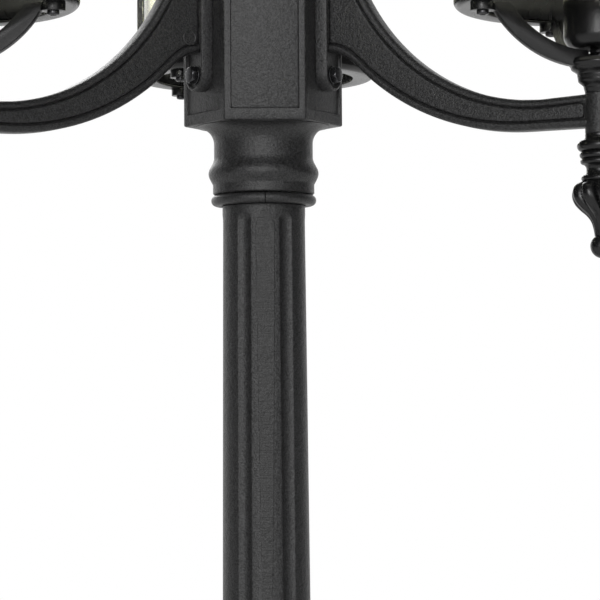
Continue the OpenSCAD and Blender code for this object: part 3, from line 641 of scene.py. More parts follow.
def makeShaftTree():
    names = ["Top Radius", "Height", "Taper", "Flutes", "Cut Radius", "Depth", "Flute Top", "Flute Foot",
             "Flat Depth", "Flat Start", "Flat Full", "Flat End"]
    tree, given, result = newGeometryTree("flutedShaft", [(n, "NodeSocketFloat", 0.1) for n in names] + [
        ("Material", "NodeSocketMaterial", None)])
    g = {n: given.outputs[n] for n in names}

    def calc(operation, first, second=None, third=None, clamp=False):
        out = mathIn(tree, operation, first, second, clamp)
        if third is not None:
            if isinstance(third, (int, float)):
                out.node.inputs[2].default_value = third
            else:
                link(tree, third, out.node.inputs[2])
        return out

    grid = tree.nodes.new("GeometryNodeMeshGrid")
    grid.inputs["Vertices X"].default_value = 361
    grid.inputs["Vertices Y"].default_value = 241
    grid.inputs["Size X"].default_value = 1
    grid.inputs["Size Y"].default_value = 1
    place = tree.nodes.new("GeometryNodeInputPosition")
    split = tree.nodes.new("ShaderNodeSeparateXYZ")
    link(tree, place.outputs[0], split.inputs[0])
    angle = calc("MULTIPLY", calc("ADD", split.outputs[0], 0.5), math.tau)
    down = calc("MULTIPLY", calc("POWER", calc("SUBTRACT", 0.5, split.outputs[1]), 1.7), g["Height"])
    radius = calc("MULTIPLY_ADD", down, g["Taper"], g["Top Radius"])
    # angle from the middle of the nearest flute; one flute stands half a pitch from the front
    pitch = calc("DIVIDE", math.tau, g["Flutes"])
    shifted = calc("ADD", angle, math.pi / 2)
    local = calc("SUBTRACT", calc("FLOORED_MODULO", shifted, pitch), calc("MULTIPLY", pitch, 0.5))
    aside = calc("MULTIPLY", radius, calc("SINE", local))
    # a half ball ends the flute at its top and its foot
    above = calc("MAXIMUM", calc("SUBTRACT", g["Flute Top"], down), 0.0)
    footAt = calc("SUBTRACT", g["Height"], g["Flute Foot"])
    below = calc("MAXIMUM", calc("SUBTRACT", down, footAt), 0.0)
    away = calc("ADD", calc("POWER", aside, 2.0),
                calc("ADD", calc("POWER", above, 2.0), calc("POWER", below, 2.0)))
    reach = calc("SQRT", calc("MAXIMUM", calc("SUBTRACT", calc("POWER", g["Cut Radius"], 2.0), away), 0.0))
    cut = calc("SUBTRACT", reach, calc("SUBTRACT", g["Cut Radius"], g["Depth"]))
    # a soft lip where the flute meets the land
    soft = tree.nodes.new("ShaderNodeMath")
    soft.operation = "SMOOTH_MAX"
    soft.inputs[1].default_value = 0.0
    soft.inputs[2].default_value = 0.0006
    link(tree, cut, soft.inputs[0])
    fluted = calc("SUBTRACT", radius, soft.outputs[0])
    x = calc("MULTIPLY", fluted, calc("COSINE", angle))
    y = calc("MULTIPLY", fluted, calc("SINE", angle))
    # the dressed-off seam: the front is cut back to a plane that runs out at both ends
    rise = calc("DIVIDE", calc("SUBTRACT", down, g["Flat Start"]),
                calc("SUBTRACT", g["Flat Full"], g["Flat Start"]))
    fall = calc("DIVIDE", calc("SUBTRACT", g["Flat End"], down),
                calc("SUBTRACT", g["Flat End"], g["Flat Full"]))
    share = calc("MAXIMUM", calc("MINIMUM", rise, fall), 0.0)
    plane = calc("SUBTRACT", calc("MULTIPLY", share, g["Flat Depth"]), radius)
    cutBack = calc("MULTIPLY", calc("SUBTRACT", plane, y), 9000.0, clamp=True)
    y = calc("MAXIMUM", y, plane)
    joinUp = tree.nodes.new("ShaderNodeCombineXYZ")
    link(tree, x, joinUp.inputs[0])
    link(tree, y, joinUp.inputs[1])
    link(tree, calc("MULTIPLY", down, -1.0), joinUp.inputs[2])
    mark = tree.nodes.new("GeometryNodeStoreNamedAttribute")
    mark.inputs["Name"].default_value = "dressed"
    link(tree, grid.outputs[0], mark.inputs["Geometry"])
    link(tree, cutBack, mark.inputs["Value"])
    shift = tree.nodes.new("GeometryNodeSetPosition")
    link(tree, mark.outputs[0], shift.inputs["Geometry"])
    link(tree, joinUp.outputs[0], shift.inputs["Position"])
    endTree(tree, given, result, shift.outputs[0])
    return tree


def buildColumn(c):
    height = c["top"] - c["bottom"]
    host = runTree("flutedShaft", makeShaftTree(), bpy.data.meshes.new("shaftHost"), {
        "Top Radius": c["topRadius"], "Height": height,
        "Taper": (c["bottomRadius"] - c["topRadius"]) / height,
        "Flutes": float(c["flutes"]), "Cut Radius": c["cutRadius"], "Depth": c["depth"],
        "Flute Top": c["fluteTop"], "Flute Foot": c["fluteFoot"], "Flat Depth": c["flatDepth"],
        "Flat Start": c["flatStart"], "Flat Full": c["flatFull"], "Flat End": c["flatEnd"],
        "Material": shaftCoat})
    piece = plainResult("flutedColumn", host, "post", ("column_shaft",), crease=40)
    piece.data.transform(Matrix.Translation((0, 0, c["top"])))


buildColumn(column)
print("column ready")


# collar between column and neck, split at the front
ringLook = {"edge": 4.6, "centre": 41.3, "level": -65.0, "bore": 37.0, "gap": 0.55}


def buildCollarRing(look):
    bead = arc(look["centre"], look["level"], look["edge"], -100, 100, 20)
    outline = [(look["bore"], bead[0][1])] + bead + [(look["bore"], bead[-1][1])]
    shape = lathe(outline, steps=160, closed=True, span=(-90 + look["gap"], 270 - look["gap"]))
    meshPiece("collarRing", shape, blackCoat, "post", ("collar_ring",), at=(0, 0, hubZ))


# round neck with its bead, its foot and the cove under the hub
neckLook = {"waist": 43.2, "foot": 44.3, "beadRise": 4.9, "beadLevel": -41.5, "beadHalf": 14.0,
            "cove": 15.0, "lip": 0.5, "base": -59.6, "rim": 0.9, "bore": 34.0}


def buildNeck(look):
    outline = [(look["bore"], look["base"]), (look["foot"] - look["rim"], look["base"]),
               (look["foot"], look["base"] + look["rim"])]
    level = look["base"] + 2
    while level < -look["lip"] - look["cove"]:
        base = look["foot"] if level < look["beadLevel"] else look["waist"]
        away = level - look["beadLevel"]
        bead = 0
        if abs(away) < look["beadHalf"]:
            bead = look["waist"] + look["beadRise"] * (1 + math.cos(math.pi * away / look["beadHalf"])) / 2
        outline.append((max(base, bead), level))
        level += 0.75
    for r, z in arc(0, 0, look["cove"], 0, 90, 14):
        outline.append((look["waist"] + look["cove"] - r, -look["lip"] - look["cove"] + z))
    outline += [(look["waist"] + look["cove"], 0.2), (look["bore"], 0.2)]
    meshPiece("roundNeck", lathe(outline, steps=160, closed=True), blackCoat, "post",
              ("neck",), at=(0, 0, hubZ))


buildCollarRing(ringLook)
buildNeck(neckLook)


# hexagonal hub with a sunk panel on every face
hubLook = {"fillet": 2.2, "sideBorder": 6.0, "endBorder": 10.0, "depth": 1.0, "step": 1.2,
           "groove": 1.5, "rim": 1.3}


def panelledPrism(corner, height, look):
    apothem = corner * math.cos(math.radians(30))
    fillet, step, rim = look["fillet"], look["step"], look["rim"]
    panelHalf = corner / 2 - look["sideBorder"]
    tangent = corner / 2 - fillet * math.tan(math.radians(30))
    across = [(-tangent, 0), (-panelHalf - step / 2, 0), (-panelHalf, look["groove"]), (-panelHalf + step, 1),
              (panelHalf - step, 1), (panelHalf, look["groove"]), (panelHalf + step / 2, 0), (tangent, 0)]
    end = look["endBorder"]
    upward = [(0, rim, 0), (rim * 0.3, rim * 0.3, 0), (rim, 0, 0), (end - step / 2, 0, 0),
              (end, 0, look["groove"]),
              (end + step, 0, 1), (height - end - step, 0, 1), (height - end, 0, look["groove"]),
              (height - end + step / 2, 0, 0), (height - rim, 0, 0),
              (height - rim * 0.3, rim * 0.3, 0), (height, rim, 0)]
    points, rings = [], []
    for z, inset, sunk in upward:
        ring = []
        for k in range(6):
            a = math.radians(30 + 60 * k)
            normal, along = Vector((math.cos(a), math.sin(a))), Vector((-math.sin(a), math.cos(a)))
            for v, share in across:
                p = normal * (apothem - inset - look["depth"] * share * sunk) + along * v
                ring.append((p.x, p.y, z))
            centre = (apothem - fillet) / math.cos(math.radians(30))
            for turn in (12, 24, 36, 48):
                b = a + math.radians(turn)
                c = a + math.radians(30)
                ring.append((centre * math.cos(c) + (fillet - inset) * math.cos(b),
                             centre * math.sin(c) + (fillet - inset) * math.sin(b), z))
        rings.append(range(len(points), len(points) + len(ring)))
        points += ring
    faces = [tuple(rings[0])[::-1], tuple(rings[-1])]
    for lower, upper in zip(rings, rings[1:]):
        for k in range(len(lower)):
            n = (k + 1) % len(lower)
            faces.append((lower[k], lower[n], upper[n], upper[k]))
    return points, faces


hubTop = levelsOf("hub_body")[1]
meshPiece("hexHub", panelledPrism(halfWidthOf("hub_body"), hubTop, hubLook), blackCoat, "post",
          ("hub_body",), at=(0, 0, hubZ), crease=25)
castCopy("hubCap", "hub_cap", 1.6, blackCoat, "post")
print("hub and neck ready")


# scroll arms: an ellipse above, a circle below, a round-bordered panel on both sides
armLook = {
    "topCentre": (264, 197), "topSize": (184, 190), "lowCentre": (250, 201), "lowRadius": 219,
    "root": 68.2, "rootLow": 60, "rootHigh": 206, "tipHigh": 9, "tipLow": -18,
    "tipSquare": 8, "tipRound": 20, "tipDepth": 8,
    "halfThick": 10.0, "flangeHalf": 14.5, "flangeBack": 59.2, "flangeLow": 27, "flangeHigh": 243,
    "rimHeight": 2.2, "bossRadius": 13.2, "bossLow": -24, "bossHigh": 10,
    "mark": (78.5, 72), "markRadius": 6.6,
}
# how far in from the outline, and how far down from the arm's side
borderSection = [(0, 3.4), (0.7, 1.9), (1.8, 0.7), (3.0, 0.15), (4.0, 0), (5.0, 0.1), (5.7, 0.7), (6.3, 2.2),
                 (6.9, 3.0), (7.5, 2.4), (8.1, 1.4), (8.8, 1.15), (9.6, 1.1)]


def armRing(look, inset):
    cu, cz = look["topCentre"]
    ru, rz = look["topSize"][0] + inset, look["topSize"][1] + inset
    low = look["lowRadius"] - inset
    root = look["root"] - 2 + inset * 0.55
    begin = math.acos(max(-1, (max(root, cu - ru) - cu) / ru))
    end = math.radians(95)
    rounded = inset > 6
    tip = armReach - (look["tipRound"] if rounded else look["tipSquare"])
    middle = (look["tipHigh"] + look["tipLow"]) / 2
    half = (look["tipHigh"] - look["tipLow"]) / 2 - inset
    ring = []
    for k in range(49):
        a = begin + (end - begin) * k / 48
        ring.append((cu + ru * math.cos(a), cz - rz * math.sin(a)))
    ring += [(cu, cz - rz), (tip, look["tipHigh"] - inset)]
    for k in range(9):
        a = math.radians(80 - 20 * k)
        across = math.copysign(abs(math.sin(a)) ** 0.4, math.sin(a)) if rounded else math.sin(a)
        ring.append((tip + (look["tipDepth"] * math.cos(a) ** 0.4 if rounded else 0), middle + half * across))
    ring.append((tip, look["tipLow"] + inset))
    for k in range(31):
        a = math.radians(90 + 45 * k / 30)
        ring.append((look["lowCentre"][0] + low * math.cos(a), look["lowCentre"][1] - low * math.sin(a)))
    # the underside leaves its circle at 45 degrees and levels out into the flange
    fromU, fromZ = ring[-1]
    level = look["rootLow"] + inset
    kneeU = fromU - (level - fromZ)
    for k in range(1, 13):
        t = k / 12
        rest = 1 - t
        ring.append((rest * rest * fromU + 2 * rest * t * kneeU + t * t * root,
                     rest * rest * fromZ + (1 - rest * rest) * level))
    ring.append((root, ring[0][1] if inset else look["rootHigh"]))
    return ring


def stackRings(rings):
    # closes a stack of equal rings into a solid
    points, faces = [], []
    count = len(rings[0])
    for ring in rings:
        points += ring
    for level in range(len(rings) - 1):
        for k in range(count):
            n = (k + 1) % count
            a, b = level * count, (level + 1) * count
            faces.append((a + k, a + n, b + n, b + k))
    last = (len(rings) - 1) * count
    faces.append(tuple(range(count))[::-1])
    faces.append(tuple(range(last, last + count)))
    return points, faces


def armWeb(look):
    rings = []
    for inset, down in reversed(borderSection):
        rings.append([(u, -(look["halfThick"] - down), z) for u, z in armRing(look, inset)])
    for inset, down in borderSection:
        rings.append([(u, look["halfThick"] - down, z) for u, z in armRing(look, inset)])
    return stackRings(rings)


def stadium(half, low, high, inset, steps=14):
    r = half - inset
    ring = []
    for start, level in ((0, high - half), (180, low + half)):
        for k in range(steps + 1):
            a = math.radians(start + 180 * k / steps)
            ring.append((r * math.cos(a), level + r * math.sin(a)))
    return ring


def armFlange(look):
    face, rise = look["root"], look["rimHeight"]
    section = [(1.0, look["flangeBack"] - 0.5), (0, look["flangeBack"] + 0.5), (0, face + rise - 1.4),
               (0.5, face + rise - 0.5), (1.5, face + rise), (2.4, face + rise - 0.2), (3.1,
                                                                                        face + rise * 0.55),
               (3.6, face + 0.1), (4.2, face)]
    rings = [[(u, y, z) for y, z in stadium(look["flangeHalf"], look["flangeLow"], look["flangeHigh"], inset)]
             for inset, u in section]
    return stackRings(rings)


def armBoss(look):
    r, low, high = look["bossRadius"], look["bossLow"], look["bossHigh"]
    outline = [(0, low), (r - 0.8, low), (r, low + 0.8), (r, high - 0.8), (r - 0.8, high), (0, high)]
    points, faces = lathe(outline, steps=64)
    return [(x + armReach, y, z) for x, y, z in points], faces


def armButton(look):
    # round casting mark low on the panel, next to the flange
    r, top = look["markRadius"], look["halfThick"] - 0.5
    outline = [(0, top - 1.2), (r, top - 1.2), (r, top - 0.3), (r - 0.4, top), (r - 1.2, top),
               (r - 1.7, top - 0.45),
               (0, top - 0.4)]
    points, faces = lathe(outline, steps=48)
    return [(x + look["mark"][0], z, y + look["mark"][1]) for x, y, z in points], faces


def buildArms(look):
    solid = joined(armWeb(look), armFlange(look), armBoss(look))
    for side in sides:
        shape = joined(solid, armButton(look)) if side == "left" else solid
        meshPiece("scrollArm_" + side, shape, blackCoat, "post", ("arm_" + side,),
                  at=(0, 0, hubZ), turn=armAngle[side], crease=33)


buildArms(armLook)
print("arms ready")


# hexagonal bolts with their washers
boltLook = {"flats": 13.0, "head": 5.3, "washer": 8.0, "washerThick": 1.6, "hole": 4.3, "levels": (41, 229)}


def hexHead(flats, height):
    # hexagon under a turned chamfer, on a thin bearing land
    half = flats / 2

    def radiusAt(angle, level, r):
        local = (angle + math.pi / 6) % (math.pi / 3) - math.pi / 6
        chamfer = half * 1.16 - max(0, level - height + 1.5) * 0.85
        return min(half / math.cos(local), chamfer)

    outline = [(0, 0), (0.93, 0), (0.97, 0.35), (1, 0.6), (1, height - 1.5), (1, height - 1.1),
               (1, height - 0.7),
               (1, height - 0.35), (0.985, height - 0.1), (0.93, height), (0, height)]
    return lathe(outline, steps=48, wave=radiusAt)


def washerShape(outer, hole, thick, edge=0.3):
    outline = [(hole, 0), (outer - edge, 0), (outer, edge), (outer, thick - edge), (outer - edge, thick),
               (hole, thick)]
    return lathe(outline, steps=48, closed=True)


def onArms(distance, levels):
    places = []
    for side in sides:
        out = Vector((math.cos(armAngle[side]), math.sin(armAngle[side]), 0))
        for level in levels:
            places.append((out * distance * mm + Vector((0, 0, hubZ + level * mm)), out))
    return places


face = armLook["root"]
scatterPart("armBolts", hexHead(boltLook["flats"], boltLook["head"]),
            onArms(face + boltLook["washerThick"], boltLook["levels"]), blackZinc, "post",
            ("arm_bolts",), turn=1.0, seed=4)
scatterPart("armWashers", washerShape(boltLook["washer"], boltLook["hole"], boltLook["washerThick"]),
            onArms(face, boltLook["levels"]), blackZinc, "post", ("arm_washers",), seed=2)
print("fasteners ready")


# turned drops: rings above, a bulb of twisted lobes, a stem and a ball
dropLook = {
    "boss": [(-24, 13.2), (-26.4, 13.6), (-28.4, 15.0), (-29.4, 16.6)],
    "beads": [(-33.7, 15.4, 4.7), (-41.1, 15.0, 3.1), (-46.4, 14.9, 2.6)],
    "waist": [(-49.2, 14.4), (-51.0, 13.0), (-53.2, 12.5), (-55.4, 12.9), (-57.4, 14.2)],
    "lastBead": (-60.3, 13.9, 3.0),
    "bulb": [(-62.4, 16.2), (-65.4, 22.2), (-69.4, 24.6), (-73.0, 25.2), (-77.0, 24.6), (-81.8, 22.2),
             (-86.4, 18.0),
             (-91.2, 12.6), (-96.0, 9.2), (-101.8, 7.4), (-107.0, 6.5)],
    "lobes": 10, "lobeDepth": 0.25, "twist": 0.5, "ball": 10.2, "ballLevel": -115.7,
}


def smoothThrough(stations, steps=5):
    # a smooth curve through (level, radius) stations
    levels = [s[0] for s in stations]
    radii = [s[1] for s in stations]
    slopes = []
    for k in range(len(stations)):
        before, after = max(0, k - 1), min(len(stations) - 1, k + 1)
        slopes.append((radii[after] - radii[before]) / (levels[after] - levels[before]))
    points = []
    for k in range(len(stations) - 1):
        width = levels[k + 1] - levels[k]
        for i in range(steps):
            t = i / steps
            a, b = 2 * t ** 3 - 3 * t ** 2 + 1, t ** 3 - 2 * t ** 2 + t
            c, d = -2 * t ** 3 + 3 * t ** 2, t ** 3 - t ** 2
            radius = a * radii[k] + b * width * slopes[k] + c * radii[k + 1] + d * width * slopes[k + 1]
            points.append((radius, levels[k] + width * t))
    points.append((radii[-1], levels[-1]))
    return points


def lobedBulb(look):
    top, foot = look["bulb"][0][0], look["bulb"][-1][0]

    def lobeAt(angle, level, r):
        t = (top - level) / (top - foot)
        turned = angle - look["twist"] * t
        across = abs(math.cos(turned * look["lobes"] / 2))
        # full depth around the belly, fading into the collar and down the stem
        fade = min(1, 0.5 + t / 0.06) * max(0, 1 - max(0, t - 0.4) / 0.55) ** 0.9
        return 1 - look["lobeDepth"] * fade * (1 - across ** 0.5)

    return lathe([(0, top)] + smoothThrough(look["bulb"], 6) + [(0, foot)], steps=200, wave=lobeAt)


def buildDrops(look):
    outline = [(0, look["boss"][0][0])] + smoothThrough(look["boss"], 5)
    for level, centre, tube in look["beads"]:
        outline += arc(centre, level, tube, 68, -68, 12)
    outline += smoothThrough(look["waist"], 4)
    level, centre, tube = look["lastBead"]
    outline += arc(centre, level, tube, 72, -72, 10)
    rings = lathe(outline + [(0, level - tube)], 96)
    ball = lathe([(0, look["ballLevel"] + look["ball"])]
                 + arc(0, look["ballLevel"], look["ball"], 80, -80, 20)
                 + [(0, look["ballLevel"] - look["ball"])], 72)
    stem = lathe([(0, -100), (7.2, -100.5), (6.5, -107.0), (6.9, -109.5), (0, -109.5)], 64)
    solid = joined(rings, lobedBulb(look), stem, ball)
    for side in sides:
        meshPiece("turnedDrop_" + side, solid, glossCoatPaintedShade, "post", ("pendant_" + side,),
                  at=lanternAt[side], turn=armAngle[side], crease=50)


buildDrops(dropLook)


# lantern undersides: the four-legged cradle, the pan and the lamp cup
for side in sides:
    castCopy("lanternCradle_" + side, "cradle_" + side, 1.9, glossCoatPaintedShade, "post", segments=3)

panLow, panHigh = levelsOf("pan_back")
panLook = {"inner": 98.0, "outer": halfWidthOf("pan_back"), "low": panLow, "high": panHigh, "sheet": 2.2,
           "bend": 6.0}


def buildPans(look):
    outer, low, high, sheet, bend = look["outer"], look["low"], look["high"], look["sheet"], look["bend"]
    lip = arc(outer - bend, low + bend, bend, -90, 0, 8)
    back = arc(outer - bend, low + bend, bend - sheet, 0, -90, 6)
    rolled = arc(outer - sheet / 2, high - sheet / 2, sheet / 2, 0, 180, 8)
    hem = arc(look["inner"] + sheet / 2, low + sheet / 2, sheet / 2, 90, 270, 8)
    outline = hem + lip + rolled + back
    for side in sides:
        meshPiece("lanternPan_" + side, lathe(outline, steps=144, closed=True), glossCoatPaintedShade, "post",
                  ("pan_" + side,), at=lanternAt[side], turn=armAngle[side], crease=50)


buildPans(panLook)

cupLook = {"radius": 30.0, "bottom": 46.0, "top": 112.0, "round": 11.0, "wall": 3.0, "stud": 4.0,
           "studLow": 34.0,
           "nut": 15.0, "nutHigh": 46.5, "nutThick": 4.4}


def buildCups(look):
    r, low, top, bend = look["radius"], look["bottom"], look["top"], look["round"]
    outline = [(0, low)] + arc(r - bend, low + bend, bend, -90, 0, 10)
    outline += arc(r - look["wall"] / 2, top - look["wall"] / 2, look["wall"] / 2, 0, 180, 6)
    outline += [(r - look["wall"], low + 10), (0, low + 8)]
    cup = lathe(outline, steps=96)
    stud = lathe([(0, look["studLow"]), (look["stud"], look["studLow"]), (look["stud"], low + 1),
                  (0, low + 1)], 32)
    nut = moved(hexHead(look["nut"], look["nutThick"]), (0, 0, look["nutHigh"] - look["nutThick"]))
    solid = joined(cup, stud, nut)
    shapes = []
    for side in sides:
        place = (lanternAt[side] - Vector((0, 0, hubZ))) / mm
        shapes.append(moved(solid, place, armAngle[side]))
    meshPiece("lampCups", joined(*shapes), glossCoatPaintedShade, "post", ("lamp_cups",), at=(0, 0, hubZ))


buildCups(cupLook)


def onLanterns(distance, level, angles, direction):
    places = []
    for side in sides:
        for degrees in angles:
            a = armAngle[side] + math.radians(degrees)
            out = Vector((math.cos(a), math.sin(a), 0))
            places.append((lanternAt[side] + out * distance * mm + Vector((0, 0, level * mm)),
                           Vector(direction)))
    return places


def socketScrew(look):
    # button head with a hexagon socket, bearing face at 0
    radius, height, socket = look["radius"], look["height"], look["socket"]
    dome = [(radius - 1.6 + 1.6 * math.sin(a), height - 1.6 + 1.6 * math.cos(a))
            for a in (math.radians(15 * k) for k in range(6, -1, -1))]

    def socketed(angle, level, r):
        local = (angle + math.pi / 6) % (math.pi / 3) - math.pi / 6
        return 1 / math.cos(local) if 0 < r <= socket else 1

    outline = [(0, 0), (radius - 0.3, 0), (radius, 0.3)] + dome + [
        (socket + 0.5, height), (socket, height - 0.25), (socket, height - look["depth"]),
        (0, height - look["depth"])]
    return lathe(outline, 48, wave=socketed)


screwLook = {"radius": 5.0, "height": 3.4, "socket": 2.4, "depth": 2.0, "circle": 103.0, "level": 74.0,
             "angles": (45, 135, 225, 315)}
scatterPart("cradleScrews", socketScrew(screwLook),
            onLanterns(screwLook["circle"], screwLook["level"], screwLook["angles"],
                       (0, 0, -1)), blackZinc, "post",
            ("cradle_screws",), turn=1.0, seed=7)

# glazed cages, panes, roofs and their finials
for side in sides:
    castCopy("lanternCage_" + side, "cage_" + side, 0.9, glossCoatPaintedShade, "post")
    castCopy("lanternRoof_" + side, "roof_" + side, 1.0, blackCoat, "roof_" + side)
    castCopy("roofFinial_" + side, "roof_finial_" + side, 0.8, blackCoat, "roof_" + side)
castCopy("roofHingePins", "roof_hinge_pins", 0.5, blackZinc, "post")

paneLow, paneHigh = levelsOf("panes_back")
paneLook = {"inner": 108.0, "outer": 111.0, "low": paneLow, "high": paneHigh, "bars": 8, "barHalf": 3.0}


def buildPanes(look):
    gap = math.degrees(math.asin(look["barHalf"] / look["inner"]))
    pitch = 360 / look["bars"]
    r0, r1, low, high = look["inner"], look["outer"], look["low"], look["high"]
    outline = [(r0, low), (r1, low), (r1, high), (r0, high)]
    panes = [lathe(outline, 14, closed=True, span=(k * pitch + gap, (k + 1) * pitch - gap))
             for k in range(look["bars"])]
    for side in sides:
        meshPiece("lanternPanes_" + side, joined(*panes), paneGlass, "post", ("panes_" + side,),
                  at=lanternAt[side], turn=armAngle[side])


buildPanes(paneLook)

# raised ribs over each roof, one above every bar
roofHigh = levelsOf("roof_back")[1]
roofLook = {
    "seat": roofHigh - 96.0, "ribs": 8, "wide": 5.0, "proud": 2.0,
    "outline": [(6, 125.5), (12, 117), (58, 62), (84, 34), (92, 34)],
}


def buildRibs(look):
    line = [(r, z) for r, z in eased(look["outline"], 7)]
    points, faces, sections = [], [], []
    for k, (r, z) in enumerate(line):
        before, after = line[max(0, k - 1)], line[min(len(line) - 1, k + 1)]
        slope = Vector((after[0] - before[0], after[1] - before[1])).normalized()
        out = Vector((slope.y, -slope.x)) * (1 if slope.y > 0 else -1)
        section = []
        for aside, rise in ((-0.5, -1.0), (-0.5, 0.2), (-0.36, 0.75), (0, 1.0), (0.36, 0.75), (0.5, 0.2),
                            (0.5, -1.0)):
            section.append(len(points))
            height = rise * look["proud"]
            points.append((r + out.x * height, aside * look["wide"], z + out.y * height))
        sections.append(section)
    for a, b in zip(sections, sections[1:]):
        for k in range(len(a)):
            n = (k + 1) % len(a)
            faces.append((a[k], a[n], b[n], b[k]))
    faces += [tuple(sections[0]), tuple(sections[-1])[::-1]]
    return points, faces


def scatterRibs(look):
    rib = buildRibs(look)
    for side in sides:
        # the rib is laid on its side before it is turned to face out; the set leaves its roll about that
        # direction free, so a rib far from the X direction still lies across the roof
        laid = [(-z, y, x) for x, y, z in rib[0]], rib[1]
        places = []
        for k in range(look["ribs"]):
            a = armAngle[side] + math.radians(22.5 + 360 * k / look["ribs"])
            out = Vector((math.cos(a), math.sin(a), 0))
            places.append((lanternAt[side] + Vector((0, 0, look["seat"] * mm)), out))
        scatterPart("roofRibs_" + side, laid, places, blackCoat, "roof_" + side)


scatterRibs(roofLook)

# lampholders and lamps
holderLook = {"base": 54.0, "wide": 22.0, "narrow": 19.0, "shoulder": 104.0, "top": 128.0, "bore": 13.5,
              "floor": 102.0}
bulbLook = {"base": 102.0, "cap": 13.0, "capTop": 128.0, "centre": 178.0, "globe": 30.0, "pitch": 3.6}


def buildHolders(look):
    wide, narrow, top = look["wide"], look["narrow"], look["top"]
    outline = [(0, look["base"]), (wide - 1.5, look["base"]), (wide, look["base"] + 1.5)]
    outline += arc(wide - 3, look["shoulder"] - 3, 3, 0, 90, 6)
    outline += [(narrow, look["shoulder"])] + arc(narrow - 1.8, top - 1.8, 1.8, 0, 90, 6)
    outline += [(look["bore"] + 1, top), (look["bore"], top - 1), (look["bore"], look["floor"]),
                (0, look["floor"])]
    return lathe(outline, 72)


def buildBulb(look):
    outline = [(0, look["base"]), (8, look["base"]), (look["cap"] - 1, look["base"] + 3)]
    level = look["base"] + 4
    while level < look["capTop"] - 2:
        outline.append((look["cap"] - 0.35 + 0.35 * math.cos(math.tau * level / look["pitch"]), level))
        level += look["pitch"] / 6
    outline += [(look["cap"], look["capTop"]), (look["cap"] + 0.8, look["capTop"] + 3)]
    neck = eased([(look["capTop"] + 4, look["cap"] + 1),
                  (look["centre"] - 12, look["globe"] * math.cos(math.asin(0.4)))], 12)
    outline += neck + arc(0, look["centre"], look["globe"], -20, 89,
                          24) + [(0, look["centre"] + look["globe"])]
    return lathe(outline, 72)


def atEveryLantern(shape):
    return joined(*[moved(shape, (lanternAt[side] - Vector((0, 0, hubZ))) / mm,
                          armAngle[side]) for side in sides])


meshPiece("lampHolders", atEveryLantern(buildHolders(holderLook)), whiteCeramic, "post",
          ("lampholders",),
          at=(0, 0, hubZ))
meshPiece("opalLamps", atEveryLantern(buildBulb(bulbLook)), opalBulb, "post", ("bulbs",),
          at=(0, 0, hubZ))
print("lanterns ready")


# pedestal, its door and what is behind it
castCopy("pedestalCasting", "pedestal", 2.0, blackCoat, "post", segments=3)
castCopy("pedestalCap", "pedestal_cap", 1.2, blackCoat, "post")
castCopy("accessDoor", "access_door", 1.0, blackCoat, "access_door")
castCopy("doorLock", "door_lock", 0.5, blackZinc, "door_lock")
castCopy("doorHingePins", "door_hinge_pins", 0.6, blackZinc, "post")
castCopy("fuseBox", "fuse_unit", 2.0, greyPlastic, "post", segments=3)
print("pedestal ready")


# clock head
castCopy("clockStem", "clock_stem", 1.0, blackCoat, "post")
castCopy("drumCase", "drum_case", 1.4, blackCoat, "post")
castCopy("clockFinial", "clock_finial", 1.0, blackCoat, "post")
castCopy("clockMovement", "movement", 1.2, castGrey, "post", segments=3)
castCopy("bezelHingePins", "bezel_hinge_pins", 0.6, blackZinc, "post")
for end in ("front", "rear"):
    castCopy(end + "MinuteArbor", end + "_minute_arbor", 0.3, brassBar, end + "_minute")
    castCopy(end + "MinuteHand", end + "_minute_hand", 0.5, handPaint, end + "_minute")
    castCopy(end + "HourHand", end + "_hour_hand", 0.5, handPaint, end + "_hour")

bezelLook = {
    "outer": 231.0, "inner": 212.0, "glass": 216.0, "back": 62.4, "front": 76.0,
    "glassBack": 67.0, "glassThick": 3.0,
    "hingeAway": 245.0, "hingeAt": 69.0, "knuckle": 5.5, "pin": 3.05, "knuckleHalf": 7.5,
}
dialLook = {
    "radius": 218.0, "face": 50.0, "thick": 2.0, "hole": 9.0, "ink": 0.35,
    "railInner": 196.0, "railOuter": 208.0,
    "rail": 1.4, "minute": 1.6, "hour": 4.4, "numeralLow": 142.0, "numeralHigh": 184.0,
}


def facing(end):
    # the rear dial, bezel and glass are the front ones turned half round
    return 0.0 if end == "front" else math.pi


def clockPiece(end, name, shape, material, body, replaces=(), crease=35):
    meshPiece(end + name, shape, material, body, replaces, at=(0, 0, clockZ), turn=facing(end),
              crease=crease)


